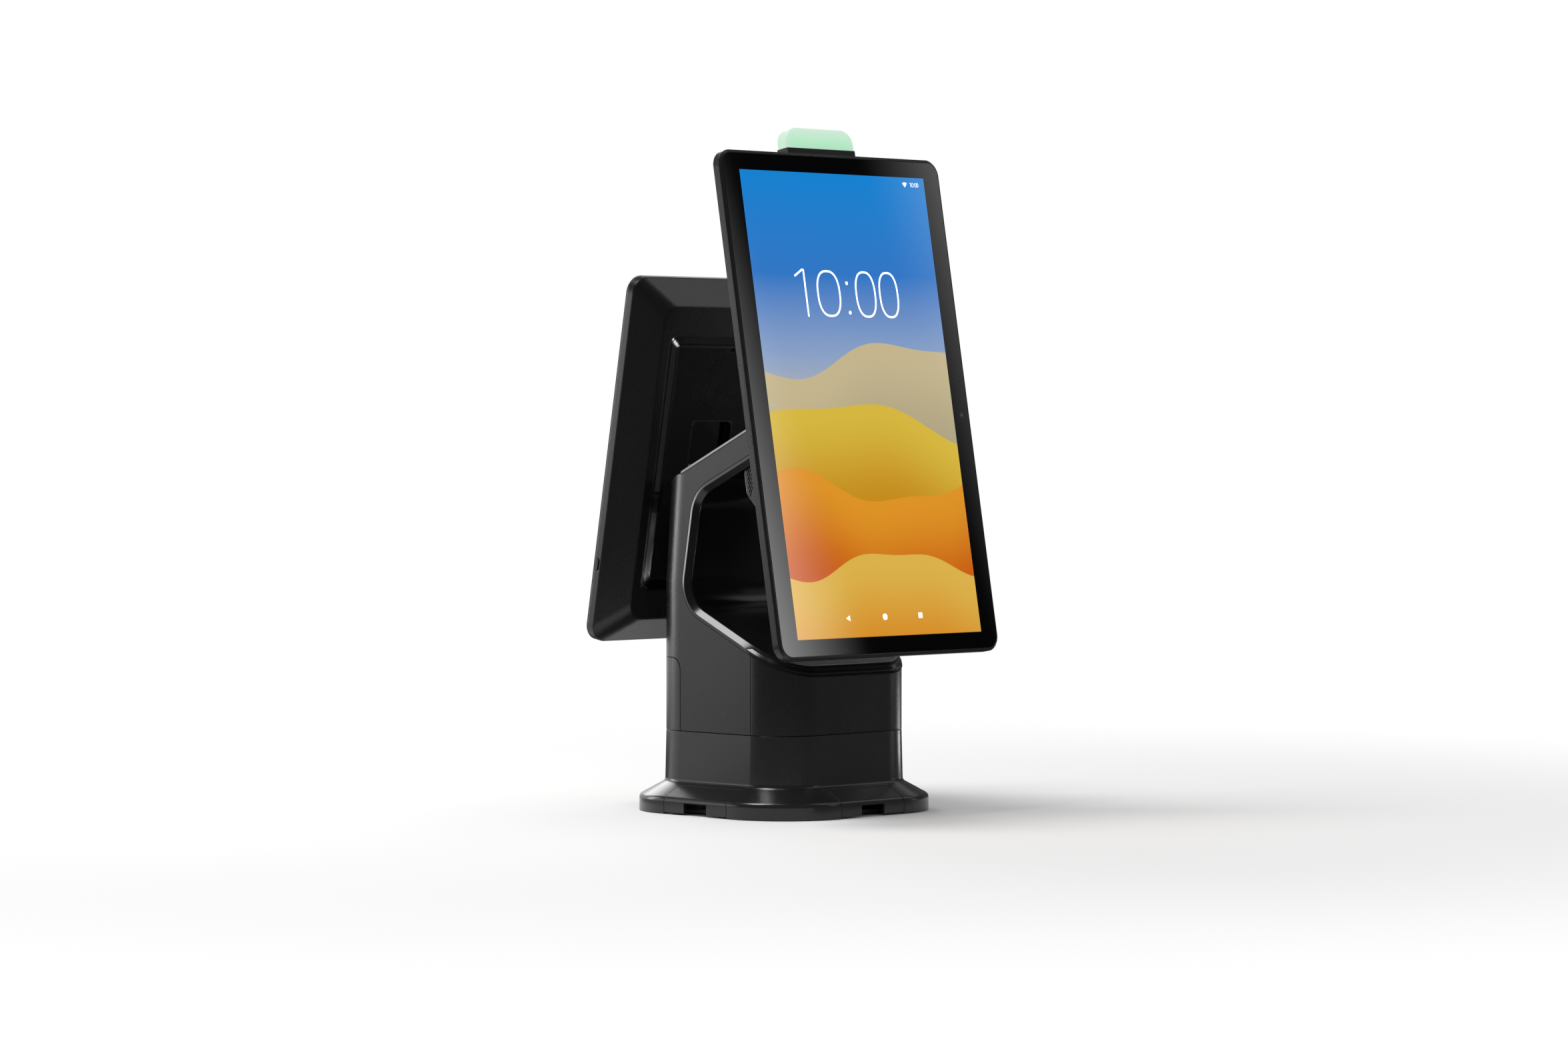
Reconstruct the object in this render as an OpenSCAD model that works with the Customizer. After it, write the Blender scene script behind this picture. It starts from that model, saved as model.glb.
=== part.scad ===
// Two-sided point-of-sale terminal: a large portrait customer display and a
// smaller portrait operator display, both tilting on one column stand.
// Frame: origin on the stand axis at the rest plane, large display faces -Y.

/* [Stand column] */
// Width of the column across its flats
column_w = 200; // [180:1:240]
// Corner radius of the column plan
column_r = 48; // [30:1:60]
// Wall of the stand mouldings
stand_wall = 3; // [2:0.5:4]
// Height of the seam round the column
seam_z = 83; // [75:1:90]
// Width of the seams between stand mouldings
seam_gap = 0.8; // [0.4:0.1:0.9]
// How far the front corner seam lies behind the front face
front_cover_d = 48; // [40:1:52]
// Height where the rear face starts to lean forward
lean_z = 235; // [220:1:250]
// Lean of the rear face above that height, degrees
lean_deg = 4.5; // [0:0.5:6]

/* [Base flange] */
// How far the flange stands out past the column
flange_out = 28; // [24:1:36]
// Height of the flange rim
rim_h = 16.4; // [15:0.2:20]
// Height where the flange meets the column
flange_top_z = 31; // [28:1:36]
// Draft of the skirt below the seam
skirt_draft = 1.2; // [0:0.1:2]
// Gap between the rim's lobes and the rest plane
lobe_lift = 0.4; // [0.2:0.1:1]
// Width of a cable cover
cover_w = 90; // [70:1:100]
// Gap between a cable cover and the rest plane
cover_lift = 1.8; // [1:0.1:3]
// Width of a cable notch
notch_w = 33; // [20:1:50]
// Height of a cable notch above the rest plane
notch_h = 12.4; // [8:0.2:14]
// Thickness of the steel base plate
plate_t = 4; // [3:0.5:6]
// Half width of the steel base plate
plate_half = 112; // [108:1:118]
// Thickness of a rubber foot
foot_t = 2; // [1.5:0.5:4]
// Radius of a rubber foot
foot_r = 14; // [10:1:18]
// Spacing of the counter screws across the stand
bolt_dx = 170; // [150:1:176]
// Spacing of the counter screws front to back
bolt_dy = 90; // [70:1:100]
// Radius of a counter screw hole
bolt_r = 3.25; // [2:0.25:4]

/* [Neck] */
// Slope of the arm and of the lip, degrees
neck_slope = 24.5; // [20:0.5:28]
// Radius of the two bends of the neck opening
bend_r = 32; // [26:1:36]
// Upper bend centre, distance behind the axis
bend_up_y = -4.5; // [-10:0.5:0]
// Upper bend centre, height
bend_up_z = 301.8; // [296:0.2:308]
// Lower bend centre, distance behind the axis
bend_low_y = 7; // [0:0.5:12]
// Lower bend centre, height
bend_low_z = 235.7; // [230:0.1:242]
// Chamfer round the neck opening
neck_chamfer = 5; // [3:0.5:6]
// Height of the arm's top edge above the hinge axis
arm_top_up = 20.6; // [18:0.2:24]
// Chamfer along the arm's top edges
arm_chamfer = 3; // [1:0.5:4]
// How far the arm's cheeks reach in front of the hinge axis
arm_front = 10; // [6:1:14]
// Thickness of the liner in the neck opening
liner_t = 1.6; // [1.2:0.2:2]
// Height of the rear door's top edge
door_top_z = 158; // [140:1:165]
// Distance of the rear door's side edges behind the axis
door_side_y = 51; // [46:1:54]

/* [Large display] */
// Outer width of the large display
main_w = 320; // [310:1:330]
// Outer height of the large display
main_h = 516.6; // [506:0.2:526]
// Border beside the large display's picture, out to its edge
main_border_w = 26.1; // [23:0.1:32]
// Border above and below the large display's picture, out to its edge
main_border_h = 20.25; // [18:0.05:28]
// Picture area of the large display, inside its borders
main_pic_w = main_w - 2 * main_border_w;
main_pic_h = main_h - 2 * main_border_h;
// Corner radius of the large display
main_r = 17; // [12:1:24]
// Tilt of the large display from upright, degrees
main_tilt = 10; // [5:1:14]
// Distance of the large display's front in front of the axis
main_y = 112; // [108:1:120]
// Height of the large display's centre
main_z = 418.9; // [412:0.1:430]
// Depth of the straight side of the large display
main_side = 10; // [9:0.5:14]
// Total depth of the large display
main_d = 36; // [34:1:40]
// Inset of the large display's bevelled back
main_bevel = 26; // [20:1:32]
// Hinge axis of the large display, distance in front of the stand axis
main_hinge_y = 52; // [48:0.5:54]
// Hinge axis of the large display, height
main_hinge_z = 376; // [374:0.5:378]

/* [Small display] */
// Width of the small display's picture area
rear_pic_w = 193.6; // [188:0.1:196]
// Height of the small display's picture area
rear_pic_h = 344.2; // [336:0.1:348]
// Border beside the small display's picture, out to its edge
rear_border_w = 23.2; // [17:0.1:28]
// Border above and below the small display's picture, out to its edge
rear_border_h = 19.9; // [17:0.1:28]
// Outer size of the small display, its picture and its borders
rear_w = rear_pic_w + 2 * rear_border_w;
rear_h = rear_pic_h + 2 * rear_border_h;
// Corner radius of the small display
rear_r = 18; // [12:1:24]
// Tilt of the small display from upright, degrees
rear_tilt = 10; // [5:1:14]
// Distance of the small display's front behind the axis
rear_y = 142; // [138:1:150]
// Height of the small display's centre
rear_z = 363; // [356:1:372]
// Depth of the straight side of the small display
rear_side = 12; // [11:0.5:14]
// Total depth of the small display
rear_d = 36; // [34:1:40]
// Inset of the small display's bevelled back
rear_bevel = 27; // [22:1:30]
// Width of the ribbed panel in the small display's back
hatch_w = 127; // [108:1:134]
// Height of the ribbed panel in the small display's back
hatch_h = 248; // [236:1:252]
// Depth of the ribbed panel below the back rim
hatch_deep = 7; // [5:0.5:8]
// Width of the mount pocket in the ribbed panel
pocket_w = 56; // [54:1:62]
// Hinge axis of the small display, distance behind the stand axis
rear_hinge_y = 108; // [107:0.5:110]
// Hinge axis of the small display, height
rear_hinge_z = 305; // [300:1:310]

/* [Display construction] */
// Depth of the front frame
frame_d = 2.6; // [2:0.1:3.4]
// Seam between front frame and rear housing
display_seam = 0.2; // [0.1:0.1:0.4]
// Width of the frame's rim beside the glass
rim_w = 3.6; // [3:0.1:5]
// Gap between the glass and the frame
glass_gap = 0.3; // [0.2:0.1:0.5]
// Thickness of the cover glass
glass_t = 2; // [1.5:0.1:3]
// Wall of the display housings
shell_t = 2.4; // [2:0.1:3]
// Thickness of a picture panel
panel_t = 8; // [6:0.5:8]
// Border of a picture panel beyond its picture area
panel_border = 9; // [6:0.5:10]
// Thickness of the metal chassis sheet
chassis_t = 1.6; // [1:0.1:2]
// Height of the board's standoffs
standoff_h = 4; // [3:0.5:5]
// Thickness of a circuit board
board_t = 1.6; // [1:0.1:2]

/* [Light bar] */
// Width of the light bar
bar_w = 98; // [80:1:110]
// Depth of the light bar
bar_d = 15; // [12:0.5:18]
// Distance of the light bar behind the large display's front
bar_back = 12; // [11:0.5:16]
// Height of the light bar above the display's top edge
bar_h = 29.5; // [24:0.5:34]
// Height of the light bar's dark foot above the top edge
bar_foot_h = 8.2; // [6:0.2:10]
// Corner radius of the light bar's diffuser
bar_r = 16; // [8:0.5:18]

/* [Hinges] */
// Shaft radius of the large display's hinge
main_shaft_r = 5; // [4:0.5:6]
// Shaft radius of the small display's hinge
rear_shaft_r = 4; // [3:0.5:4.5]
// Wall of a hinge bush
bush_t = 2; // [1.5:0.5:2.5]
// Wall of a hinge barrel
barrel_t = 4; // [2.5:0.5:4]
// Half width of the large display's hinge barrel
main_barrel = 30; // [24:1:36]
// Half width of the small display's hinge barrel
rear_barrel = 14; // [12:1:15]
// Thickness of a hinge ear
ear_t = 5; // [4:0.5:6]
// Thickness of a hinge friction washer
washer_t = 0.9; // [0.6:0.1:1.2]
// Radial running clearance of the shafts in their bushes
run_gap = 0.05; // [0.03:0.01:0.08]
// Clearance of parts that are fixed to each other
fit_gap = 0.02; // [0.01:0.01:0.05]
// Width of the mount plate screws' square
vesa = 100; // [75:25:100]
// Half width of the vented hub
hub_half = 93; // [88:0.5:94]
// Depth of the vented hub's back behind the display's front
hub_d = 89; // [84:0.5:90]

/* [Buttons] */
// Length of a power button
button_l = 12; // [8:1:16]
// Width of a power button
button_w = 4; // [3:0.5:5]
// Travel of a power button
button_travel = 1; // [0.6:0.1:1.4]
// Clearance round a power button
button_gap = 0.3; // [0.2:0.1:0.4]

/* [Hidden] */
$fn = 96;
hull_fn = 32;
column_fn = 128;
slice_t = 1;
eps = 0.01;
far = 600;
stack_gap = 0.05;

// Stand
column_half = column_w / 2;
column_c = column_half - column_r;
flange_r = column_r + flange_out;
rim_round = 6;
root_round = 5;
skirt_r = column_r + skirt_draft;
flange_slope = atan((flange_top_z - rim_h) / (flange_r - skirt_r));
flange_tangent = tan((90 - flange_slope) / 2);
slope_in_r = column_r + 5;
slope_in_z = flange_top_z - 2.2;
plate_z = foot_t;
plate_top = plate_z + plate_t;
plate_r = column_r + plate_half - column_half;
foot_c = column_c + 22;
boss_c = column_c + column_r - stand_wall - 16;
boss_r = 6;
boss_top = 40;
base_screw_r = 2;
base_head_r = 4;
base_head_t = 1.5;
base_screw_l = 14;
lean_top_z = 420;
lean_shift = (lean_top_z - lean_z) * tan(lean_deg);
shell_z = seam_z + seam_gap;
front_seam_y = -column_half + front_cover_d;
liner_edge = neck_chamfer + 0.7;
liner_gap = 0.2;
arm_wall_top = stand_wall / cos(neck_slope);
door_corner_r = 12;
cheek_cut_y = -18;
cheek_cut_z = 300;
cheek_rim = 4.5;

// Steel inside the stand
post_half = 30;
post_y0 = 56;
post_d = 24;
post_t = 3;
beam_t = 12;
beam_rear_y = post_y0 + post_d - beam_t / 2 * sin(neck_slope);
psu_size = [120, 84, 44];
psu_y = -28;
io_size = [84, 1.6, 56];
io_z = 90;
io_gap = 4;
io_post_x = 21;
port_count = 4;
port_pitch = 19;
port_size = [13, 9, 6.5];
main_bore_r = main_shaft_r + run_gap + bush_t;
rear_bore_r = rear_shaft_r + run_gap + bush_t;
main_barrel_r = main_bore_r + barrel_t;
rear_barrel_r = rear_bore_r + barrel_t / 1.6;
bush_l = 12;
bracket_half_h = 13;
bracket_t = 12;
bracket_gap = 2;

// Displays: width, height, corner radius, side depth, total depth, bevel, picture width and height
MAIN = [main_w, main_h, main_r, main_side, main_d, main_bevel, main_pic_w, main_pic_h];
REAR = [rear_w, rear_h, rear_r, rear_side, rear_d, rear_bevel, rear_pic_w, rear_pic_h];
frame_set = 0.3;
frame_chamfer = 2.2;
frame_flat = 0.5;
back_from = frame_d + display_seam;
panel_from = glass_t + stack_gap;
chassis_from = panel_from + panel_t + stack_gap;
chassis_to = chassis_from + chassis_t;
chassis_inset = shell_t + 4;
board_from = chassis_to + standoff_h + stack_gap;
board_to = board_from + board_t;
standoff_r = 3;
chip_h = 2.4;
back_screw_r = 1.5;
back_boss_r = 4;
back_head_r = 3.5;
back_head_t = 2.6;
head_gap = 0.3;
mount_screw_r = 2;
mount_boss_r = 6;
mount_boss_l = 9;
mount_head_r = 3.8;
mount_head_t = 2.4;
mount_plate_t = 4;
main_mount_screw_l = 11;
rear_mount_screw_l = 10;
main_board_size = [150, 170];
main_board_v = -20;
main_speaker_size = [60, 28];
main_speaker_t = 12;
main_speaker_u = 62;
main_speaker_edge = 62.3;
main_speaker_v = -main_h / 2 + main_speaker_edge;
main_screw_edge = [38, 53.3];
main_screw_u = main_w / 2 - main_screw_edge[0];
main_screw_top = main_h / 2 - main_screw_edge[1];
main_screw_v = [-main_screw_top, 0, main_screw_top];
camera_u = main_w / 2 - 10.5;
camera_r = 4;
camera_d = 6;
cover_from = 3.6;
cover_to = main_side - 0.8;
cover_v0 = -44;
cover_v1 = 40;
cover_gap = 0.2;
cover_t = 2;
button_flange = 1;
button_flange_t = 1.4;
main_button_edge = 108.3;
main_button_v = -main_h / 2 + main_button_edge;
rear_button_edge = 81;
rear_button_v = -rear_h / 2 + rear_button_edge;

// Hinge axes in the displays' own frames: depth behind the front plane and height on the plane
function to_depth(dy, dz, tilt) = dy * cos(tilt) - dz * sin(tilt);
function to_height(dy, dz, tilt) = dy * sin(tilt) + dz * cos(tilt);
main_axis_w = to_depth(main_y - main_hinge_y, main_hinge_z - main_z, main_tilt);
main_axis_v = to_height(main_y - main_hinge_y, main_hinge_z - main_z, main_tilt);
rear_axis_w = to_depth(rear_y - rear_hinge_y, rear_hinge_z - rear_z, rear_tilt);
rear_axis_v = to_height(rear_y - rear_hinge_y, rear_hinge_z - rear_z, rear_tilt);
nut_t = 4;
nut_r = 1.7;
main_ear_in = main_barrel + washer_t + 2 * stack_gap;
rear_ear_in = rear_barrel + washer_t + 2 * stack_gap;
main_ear_out = main_ear_in + ear_t;
rear_ear_out = rear_ear_in + ear_t;
washer_out = 3;
ear_r = 9;

// Vented hub
hub_wall = 2.5;
hub_round = 3;
hub_low = -102;
hub_top = 70;
hub_edge = 4;
hub_back_rise = 29;
hub_back_h = 29;
hub_back_low = hub_low + hub_back_rise;
hub_back_top = hub_back_low + hub_back_h;
hub_heel = 22;
hub_toe = [14, 7];
hub_brow = [28, 22];
hub_shelf_d = 10;
hub_shelf_rise = 28;
hub_lip = 6;
hub_shelf = main_d + hub_shelf_d;
slot_w = 1.3;
slot_pitch = 4.4;
slot_count = 9;
slot_l = 8;
slot_lean = 57;
groove_l = 16;
groove_d = 0.8;
groove_shift = 13;
hub_slot_edge = 8;
hub_slot_w = hub_d - hub_slot_edge;
hub_slot_v = hub_back_low - 5;
hub_mouth = main_ear_out + nut_t + 4;

// Small display's back
hatch_t = 1.8;
hatch_from = rear_d - hatch_deep - hatch_t;
hatch_r = 6;
recess_r = 9;
step_w = 18;
step_h = 10;
pocket_v1 = 43;
pocket_v0 = -97;
pocket_r = 6;
pocket_floor = 20.5;
pocket_wall = 2.4;
rear_plate_size = [pocket_w - 4, 92];
rear_plate_v = pocket_v0 + 2 + rear_plate_size[1] / 2;
rear_vesa_u = 36;
rear_vesa_v = 75;
rear_speaker_size = [50, 24];
rear_speaker_t = 10;
rear_speaker_edge = 23;
rear_speaker_v = pocket_v0 - rear_speaker_edge;
rear_board_size = [120, 90];
rear_board_edge = 81;
rear_board_v = rear_h / 2 - rear_board_edge;
rear_screw_edge = [9, 10];
rear_screw_u = hatch_w / 2 - rear_screw_edge[0];
rear_screw_v = [-hatch_h / 2 + rear_screw_edge[1], pocket_v1 + rear_screw_edge[0]];
rear_screw_l = 9;
hatch_seat = hatch_from - stack_gap;
notch_mark_u = -15;
notch_mark = [9, 3.5];

// Flat shapes

module rr2(w, h, r) {
  square([w - 2 * r, h], center = true);
  square([w, h - 2 * r], center = true);
  for (x = [-1, 1], y = [-1, 1])
    translate([x * (w / 2 - r), y * (h / 2 - r)]) circle(r);
}

// A plan of the column, grown or shrunk all round
module plan(grow = 0) {
  rr2(column_w + 2 * grow, column_w + 2 * grow, column_r + grow);
}

// The neck opening seen from the side, grown by d: two bends joined by straight runs
module opening2(d) {
  r = bend_r + d;
  lean = atan2(bend_up_y - bend_low_y, bend_up_z - bend_low_z);
  n_up = [sin(neck_slope), cos(neck_slope)];
  n_in = [cos(lean), -sin(lean)];
  n_low = [sin(neck_slope), -cos(neck_slope)];
  up = [bend_up_y, bend_up_z];
  low = [bend_low_y, bend_low_z];
  run = 220;
  translate(up) circle(r);
  translate(low) circle(r);
  polygon([
    up + r * n_up + run * [-cos(neck_slope), sin(neck_slope)], up + r * n_up, up + r * n_in,
    low + r * n_in, low + r * n_low, low + r * n_low - run * [cos(neck_slope), sin(neck_slope)]]);
}

// Extrudes a side view, drawn as distance behind the axis and height, across the stand
module across(half) {
  translate([-half, 0, 0]) rotate([90, 0, 90]) linear_extrude(2 * half) children();
}

module opening(d, half) {
  across(half) opening2(d);
}

// A flat slab of a display: rounded rectangle between two depths
module slab(w, h, r, from, to) {
  translate([0, to, 0]) rotate([90, 0, 0]) linear_extrude(to - from) rr2(w, h, r);
}

// A bevelled block of a display between two depths
module bevel(w0, h0, r0, from, w1, h1, r1, to) {
  hull() {
    slab(w0, h0, r0, from, from + eps, $fn = hull_fn);
    slab(w1, h1, r1, to - eps, to, $fn = hull_fn);
  }
}

module main_place() {
  translate([0, -main_y, main_z]) rotate([-main_tilt, 0, 0]) children();
}

module rear_place() {
  translate([0, rear_y, rear_z]) rotate([0, 0, 180]) rotate([-rear_tilt, 0, 0]) children();
}

// A round bar across the stand
module bar_x(r, x0, x1) {
  translate([x0, 0, 0]) rotate([0, 90, 0]) cylinder(r = r, h = x1 - x0);
}

// A round bar along a display's depth
module bar_y(r, y0, y1) {
  translate([0, y0, 0]) rotate([-90, 0, 0]) cylinder(r = r, h = y1 - y0);
}

// Stand pieces

// Flange and skirt in section: distance from the corner centre, height
function rim_arc(n = 9) = [for (i = [0:n]) let (a = i * (90 - flange_slope) / n)
  [flange_r + rim_round * (cos(a) - 1), rim_h + rim_round * (sin(a) - flange_tangent)]];

// Concave bend from the flange's slope up to the column
function root_arc(n = 6) = [for (i = [0:n]) let (a = 270 - flange_slope - i * (90 - flange_slope) / n)
  [skirt_r + root_round * (1 + cos(a)), flange_top_z + root_round * (flange_tangent + sin(a))]];

module skirt_section() {
  polygon(concat(
    [[flange_r, lobe_lift]], rim_arc(),
    root_arc(), [[column_r, seam_z], [column_r - stand_wall, seam_z], [column_r - stand_wall, flange_top_z],
      [slope_in_r - 1.5, slope_in_z - stand_wall - 0.3],
      [flange_r - stand_wall, rim_h - stand_wall], [flange_r - stand_wall, lobe_lift]]));
}

// One side's straight run of the section, from t0 to t1 along the side, facing -Y
module section_run(t0, t1) {
  translate([t0, -column_c, 0]) rotate([90, 0, 90]) linear_extrude(t1 - t0)
    mirror([1, 0]) skirt_section();
}

cover_in_r = slope_in_r + 2;

// The space of one cable cover, on the -Y side
module cover_space(gap) {
  translate([-cover_w / 2 - gap, -column_c - flange_r - 1, -1])
    cube([cover_w + 2 * gap, flange_r + 1 - cover_in_r + gap, flange_top_z + 1]);
}

module base_skirt() color("#2b2c2e") difference() {
  union() {
    for (k = [0:3]) rotate([0, 0, 90 * k]) {
      translate([column_c, column_c, 0]) rotate_extrude(angle = 90) skirt_section();
      section_run(-column_c, column_c);
      translate([boss_c, boss_c, plate_top]) cylinder(r = boss_r, h = boss_top - plate_top);
    }
  }
  for (k = [0:3]) rotate([0, 0, 90 * k]) {
    cover_space(seam_gap);
    translate([boss_c, boss_c, plate_top - 1])
      cylinder(r = base_screw_r + fit_gap, h = base_screw_l + 2);
  }
}

module cable_cover(k) color("#2b2c2e") rotate([0, 0, 90 * k]) {
  rib_half = notch_w / 2 + 4;
  difference() {
    intersection() {
      section_run(-cover_w / 2, cover_w / 2);
      cover_space(0);
      translate([-far / 2, -far / 2, cover_lift]) cube(far);
    }
    translate([-notch_w / 2, -column_c - flange_r - 1, 0]) cube([notch_w, 12, notch_h]);
  }
  for (s = [-1, 1]) intersection() {
    translate([s * (rib_half + 6) - 2, -column_c - cover_in_r - 3.5, plate_top + stack_gap])
      cube([4, 3, slope_in_z - plate_top - stand_wall - 1]);
    section_block();
  }
}

// What lies under the flange's slope
module section_block() {
  translate([-far / 2, -column_c, 0]) rotate([90, 0, 90]) linear_extrude(far)
    polygon([[-flange_r, 0], [-flange_r + stand_wall, rim_h - 1], [-slope_in_r, slope_in_z - 0.6],
      [0, slope_in_z], [0, 0]]);
}

module cable_cover_front() cable_cover(0);
module cable_cover_right() cable_cover(1);
module cable_cover_rear() cable_cover(2);
module cable_cover_left() cable_cover(3);

module base_plate() color("#8d9094") difference() {
  translate([0, 0, plate_z]) linear_extrude(plate_t)
    rr2(2 * plate_half, 2 * plate_half, plate_r);
  for (x = [-1, 1], y = [-1, 1]) {
    translate([x * bolt_dx / 2, y * bolt_dy / 2, 0]) cylinder(r = bolt_r, h = plate_top + 1);
    translate([x * boss_c, y * boss_c, 0]) cylinder(r = base_screw_r + 0.2, h = plate_top + 1);
    translate([x * boss_c, y * boss_c, 0])
      cylinder(r = base_head_r + head_gap, h = plate_z + base_head_t + fit_gap);
  }
}

module rubber_feet() color("#151515") {
  for (x = [-1, 1], y = [-1, 1])
    translate([x * foot_c, y * foot_c, 0]) difference() {
      cylinder(r = foot_r, h = foot_t);
      translate([x * (boss_c - foot_c), y * (boss_c - foot_c), -1])
        cylinder(r = base_head_r + head_gap, h = foot_t + 2);
    }
  cylinder(r = foot_r, h = foot_t);
}

module base_screws() color("#b0b2b4") for (x = [-1, 1], y = [-1, 1])
  translate([x * boss_c, y * boss_c, plate_z]) {
    cylinder(r = base_head_r, h = base_head_t);
    cylinder(r = base_screw_r, h = base_screw_l);
  }

// The column above the seam, grown all round, with the rear face leaning forward at the top
module column_solid(grow) {
  h = lean_z - seam_z;
  lean = lean_shift;
  translate([0, 0, seam_z]) linear_extrude(h) plan(grow);
  hull() {
    translate([0, 0, lean_z]) linear_extrude(eps) plan(grow, $fn = column_fn);
    translate([0, -lean / 2, lean_top_z]) linear_extrude(eps)
      rr2(column_w + 2 * grow, column_w + 2 * grow - lean, column_r + grow, $fn = column_fn);
  }
}

// Everything under the arm's top face, lowered by d along the vertical
module under_top(d) {
  top = main_hinge_z + arm_top_up - d;
  rise = far * tan(neck_slope);
  across(far) polygon([[-main_hinge_y - far, top + rise], [-main_hinge_y + far, top - rise],
    [far, 0], [-far - main_hinge_y, 0]]);
}

// The rear door's side view, grown by gap
module door_space(gap) {
  y0 = door_side_y - gap;
  z1 = door_top_z + gap;
  r = door_corner_r;
  across(far) {
    translate([y0 + r, z1 - r]) circle(r);
    translate([y0 + r, 0]) square([far, z1]);
    translate([y0, 0]) square([2 * r, z1 - r]);
  }
}

module neck_space() {
  front = -main_hinge_y - arm_front;
  across(far) polygon([[front_seam_y + seam_gap / 2, shell_z], [far, shell_z], [far, far],
    [front, far], [front, lean_z], [front_seam_y + seam_gap / 2, lean_z]]);
}

// Chamfer between the neck opening and one side face
module opening_chamfer(side) {
  inner = column_half - neck_chamfer;
  hull() {
    for (d = [0, neck_chamfer + eps])
      translate([side * (inner + d), 0, 0]) opening(d, eps, $fn = hull_fn);
  }
}

module arm_edge_chamfer(side) {
  a = arm_chamfer * sqrt(2);
  translate([side * column_half, -main_hinge_y, main_hinge_z + arm_top_up])
    rotate([-neck_slope, 0, 0]) rotate([0, 45, 0]) cube([a, far, a], center = true);
}

module neck_shell() color("#2e2f31") difference() {
  intersection() {
    column_solid(0);
    under_top(0);
    neck_space();
  }
  difference() {
    intersection() {
      translate([0, 0, -1]) column_solid(-stand_wall);
      under_top(arm_wall_top);
    }
    opening(neck_chamfer, far);
  }
  opening(0, far);
  opening(liner_t + liner_gap, column_half - liner_edge);
  for (s = [-1, 1]) {
    opening_chamfer(s);
    arm_edge_chamfer(s);
  }
  intersection() {
    translate([-column_half + cheek_rim, cheek_cut_y - far, cheek_cut_z])
      cube([column_w - 2 * cheek_rim, far, far]);
    under_top(arm_wall_top);
  }
  door_space(seam_gap);
  translate([-rear_barrel - bracket_gap, 0, rear_hinge_z - bracket_t / 2 - bracket_gap])
    cube([2 * (rear_barrel + bracket_gap), far, bracket_t + 2 * bracket_gap]);
}

function lip_z(y, d) = bend_low_z - (bend_r + d) / cos(neck_slope)
  + (y - bend_low_y) * tan(neck_slope);

// A thin sloped slice of the column at the lip, lowered by d
module lip_slice(grow, d) {
  intersection() {
    linear_extrude(far) plan(grow, $fn = column_fn);
    across(far) polygon([[-far, lip_z(-far, d)], [0, lip_z(0, d)], [0, lip_z(0, d) - slice_t],
      [-far, lip_z(-far, d) - slice_t]]);
  }
}

module front_cover() color("#2b2c2e") difference() {
  intersection() {
    hull() {
      translate([0, 0, shell_z]) linear_extrude(slice_t) plan($fn = column_fn);
      lip_slice(0, neck_chamfer);
      lip_slice(-neck_chamfer, 0);
    }
    translate([-far / 2, front_seam_y - seam_gap / 2 - far, 0]) cube(far);
  }
  difference() {
    linear_extrude(far) plan(-stand_wall);
    opening(neck_chamfer, far);
  }
  intersection() {
    linear_extrude(far) plan(-liner_edge);
    opening(liner_t + liner_gap, far);
  }
}

module neck_liner() color("#161617") difference() {
  intersection() {
    linear_extrude(far) plan(-liner_edge - liner_gap);
    opening(liner_t, far);
  }
  opening(0, far);
  translate([-far / 2, cheek_cut_y - far, cheek_cut_z]) cube(far);
}

module rear_door() color("#2b2c2e") intersection() {
  translate([0, 0, shell_z]) linear_extrude(door_top_z) difference() {
    plan();
    plan(-stand_wall);
  }
  door_space(0);
}

module beam_place() {
  translate([0, -main_hinge_y, main_hinge_z]) rotate([-neck_slope, 0, 0]) children();
}

module post() color("#9a9da1") difference() {
  translate([-post_half, post_y0, plate_top]) cube([2 * post_half, post_d, main_hinge_z]);
  translate([-post_half + post_t, post_y0 + post_t, 0])
    cube([2 * (post_half - post_t), post_d - 2 * post_t, far]);
  beam_place() translate([-far / 2, -far / 2, -beam_t / 2 - stack_gap]) cube(far);
}

module arm_beam() color("#9a9da1") beam_place() difference() {
  union() {
    bar_x(main_barrel_r, -main_barrel, main_barrel);
    translate([-post_half, 0, -beam_t / 2])
      cube([2 * post_half, (beam_rear_y + main_hinge_y) / cos(neck_slope), beam_t]);
  }
  bar_x(main_bore_r, -main_barrel - 1, main_barrel + 1);
}

module rear_bracket() color("#9a9da1") {
  foot_half = post_half - 4;
  foot_y = post_y0 + post_d + stack_gap;
  foot_d = 6;
  translate([0, 0, rear_hinge_z]) difference() {
    union() {
      translate([-foot_half, foot_y, -bracket_half_h])
        cube([2 * foot_half, foot_d, 2 * bracket_half_h]);
      translate([-rear_barrel, foot_y, -bracket_t / 2])
        cube([2 * rear_barrel, rear_hinge_y - foot_y, bracket_t]);
      translate([0, rear_hinge_y, 0]) bar_x(rear_barrel_r, -rear_barrel, rear_barrel);
    }
    translate([0, rear_hinge_y, 0]) bar_x(rear_bore_r, -rear_barrel - 1, rear_barrel + 1);
  }
}

module power_supply() color("#5d6064") {
  translate([-psu_size[0] / 2, psu_y - psu_size[1] / 2, plate_top + stack_gap]) cube(psu_size);
}

module io_board() color("#1f5a3a") {
  y = post_y0 + post_d + io_gap;
  translate([-io_size[0] / 2, y, io_z]) cube(io_size);
  for (s = [-1, 1])
    translate([s * io_post_x, post_y0 + post_d + stack_gap, io_z + io_size[2] / 2])
      bar_y(standoff_r, 0, io_gap + eps);
}

module io_ports() color("#b0b2b4") {
  y = post_y0 + post_d + io_gap + io_size[1] + stack_gap;
  for (i = [0:port_count - 1]) translate([(i - (port_count - 1) / 2) * port_pitch - port_size[0] / 2,
    y, io_z + 8]) cube(port_size);
}

// Hinge pieces, drawn round an axis across the stand

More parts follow.
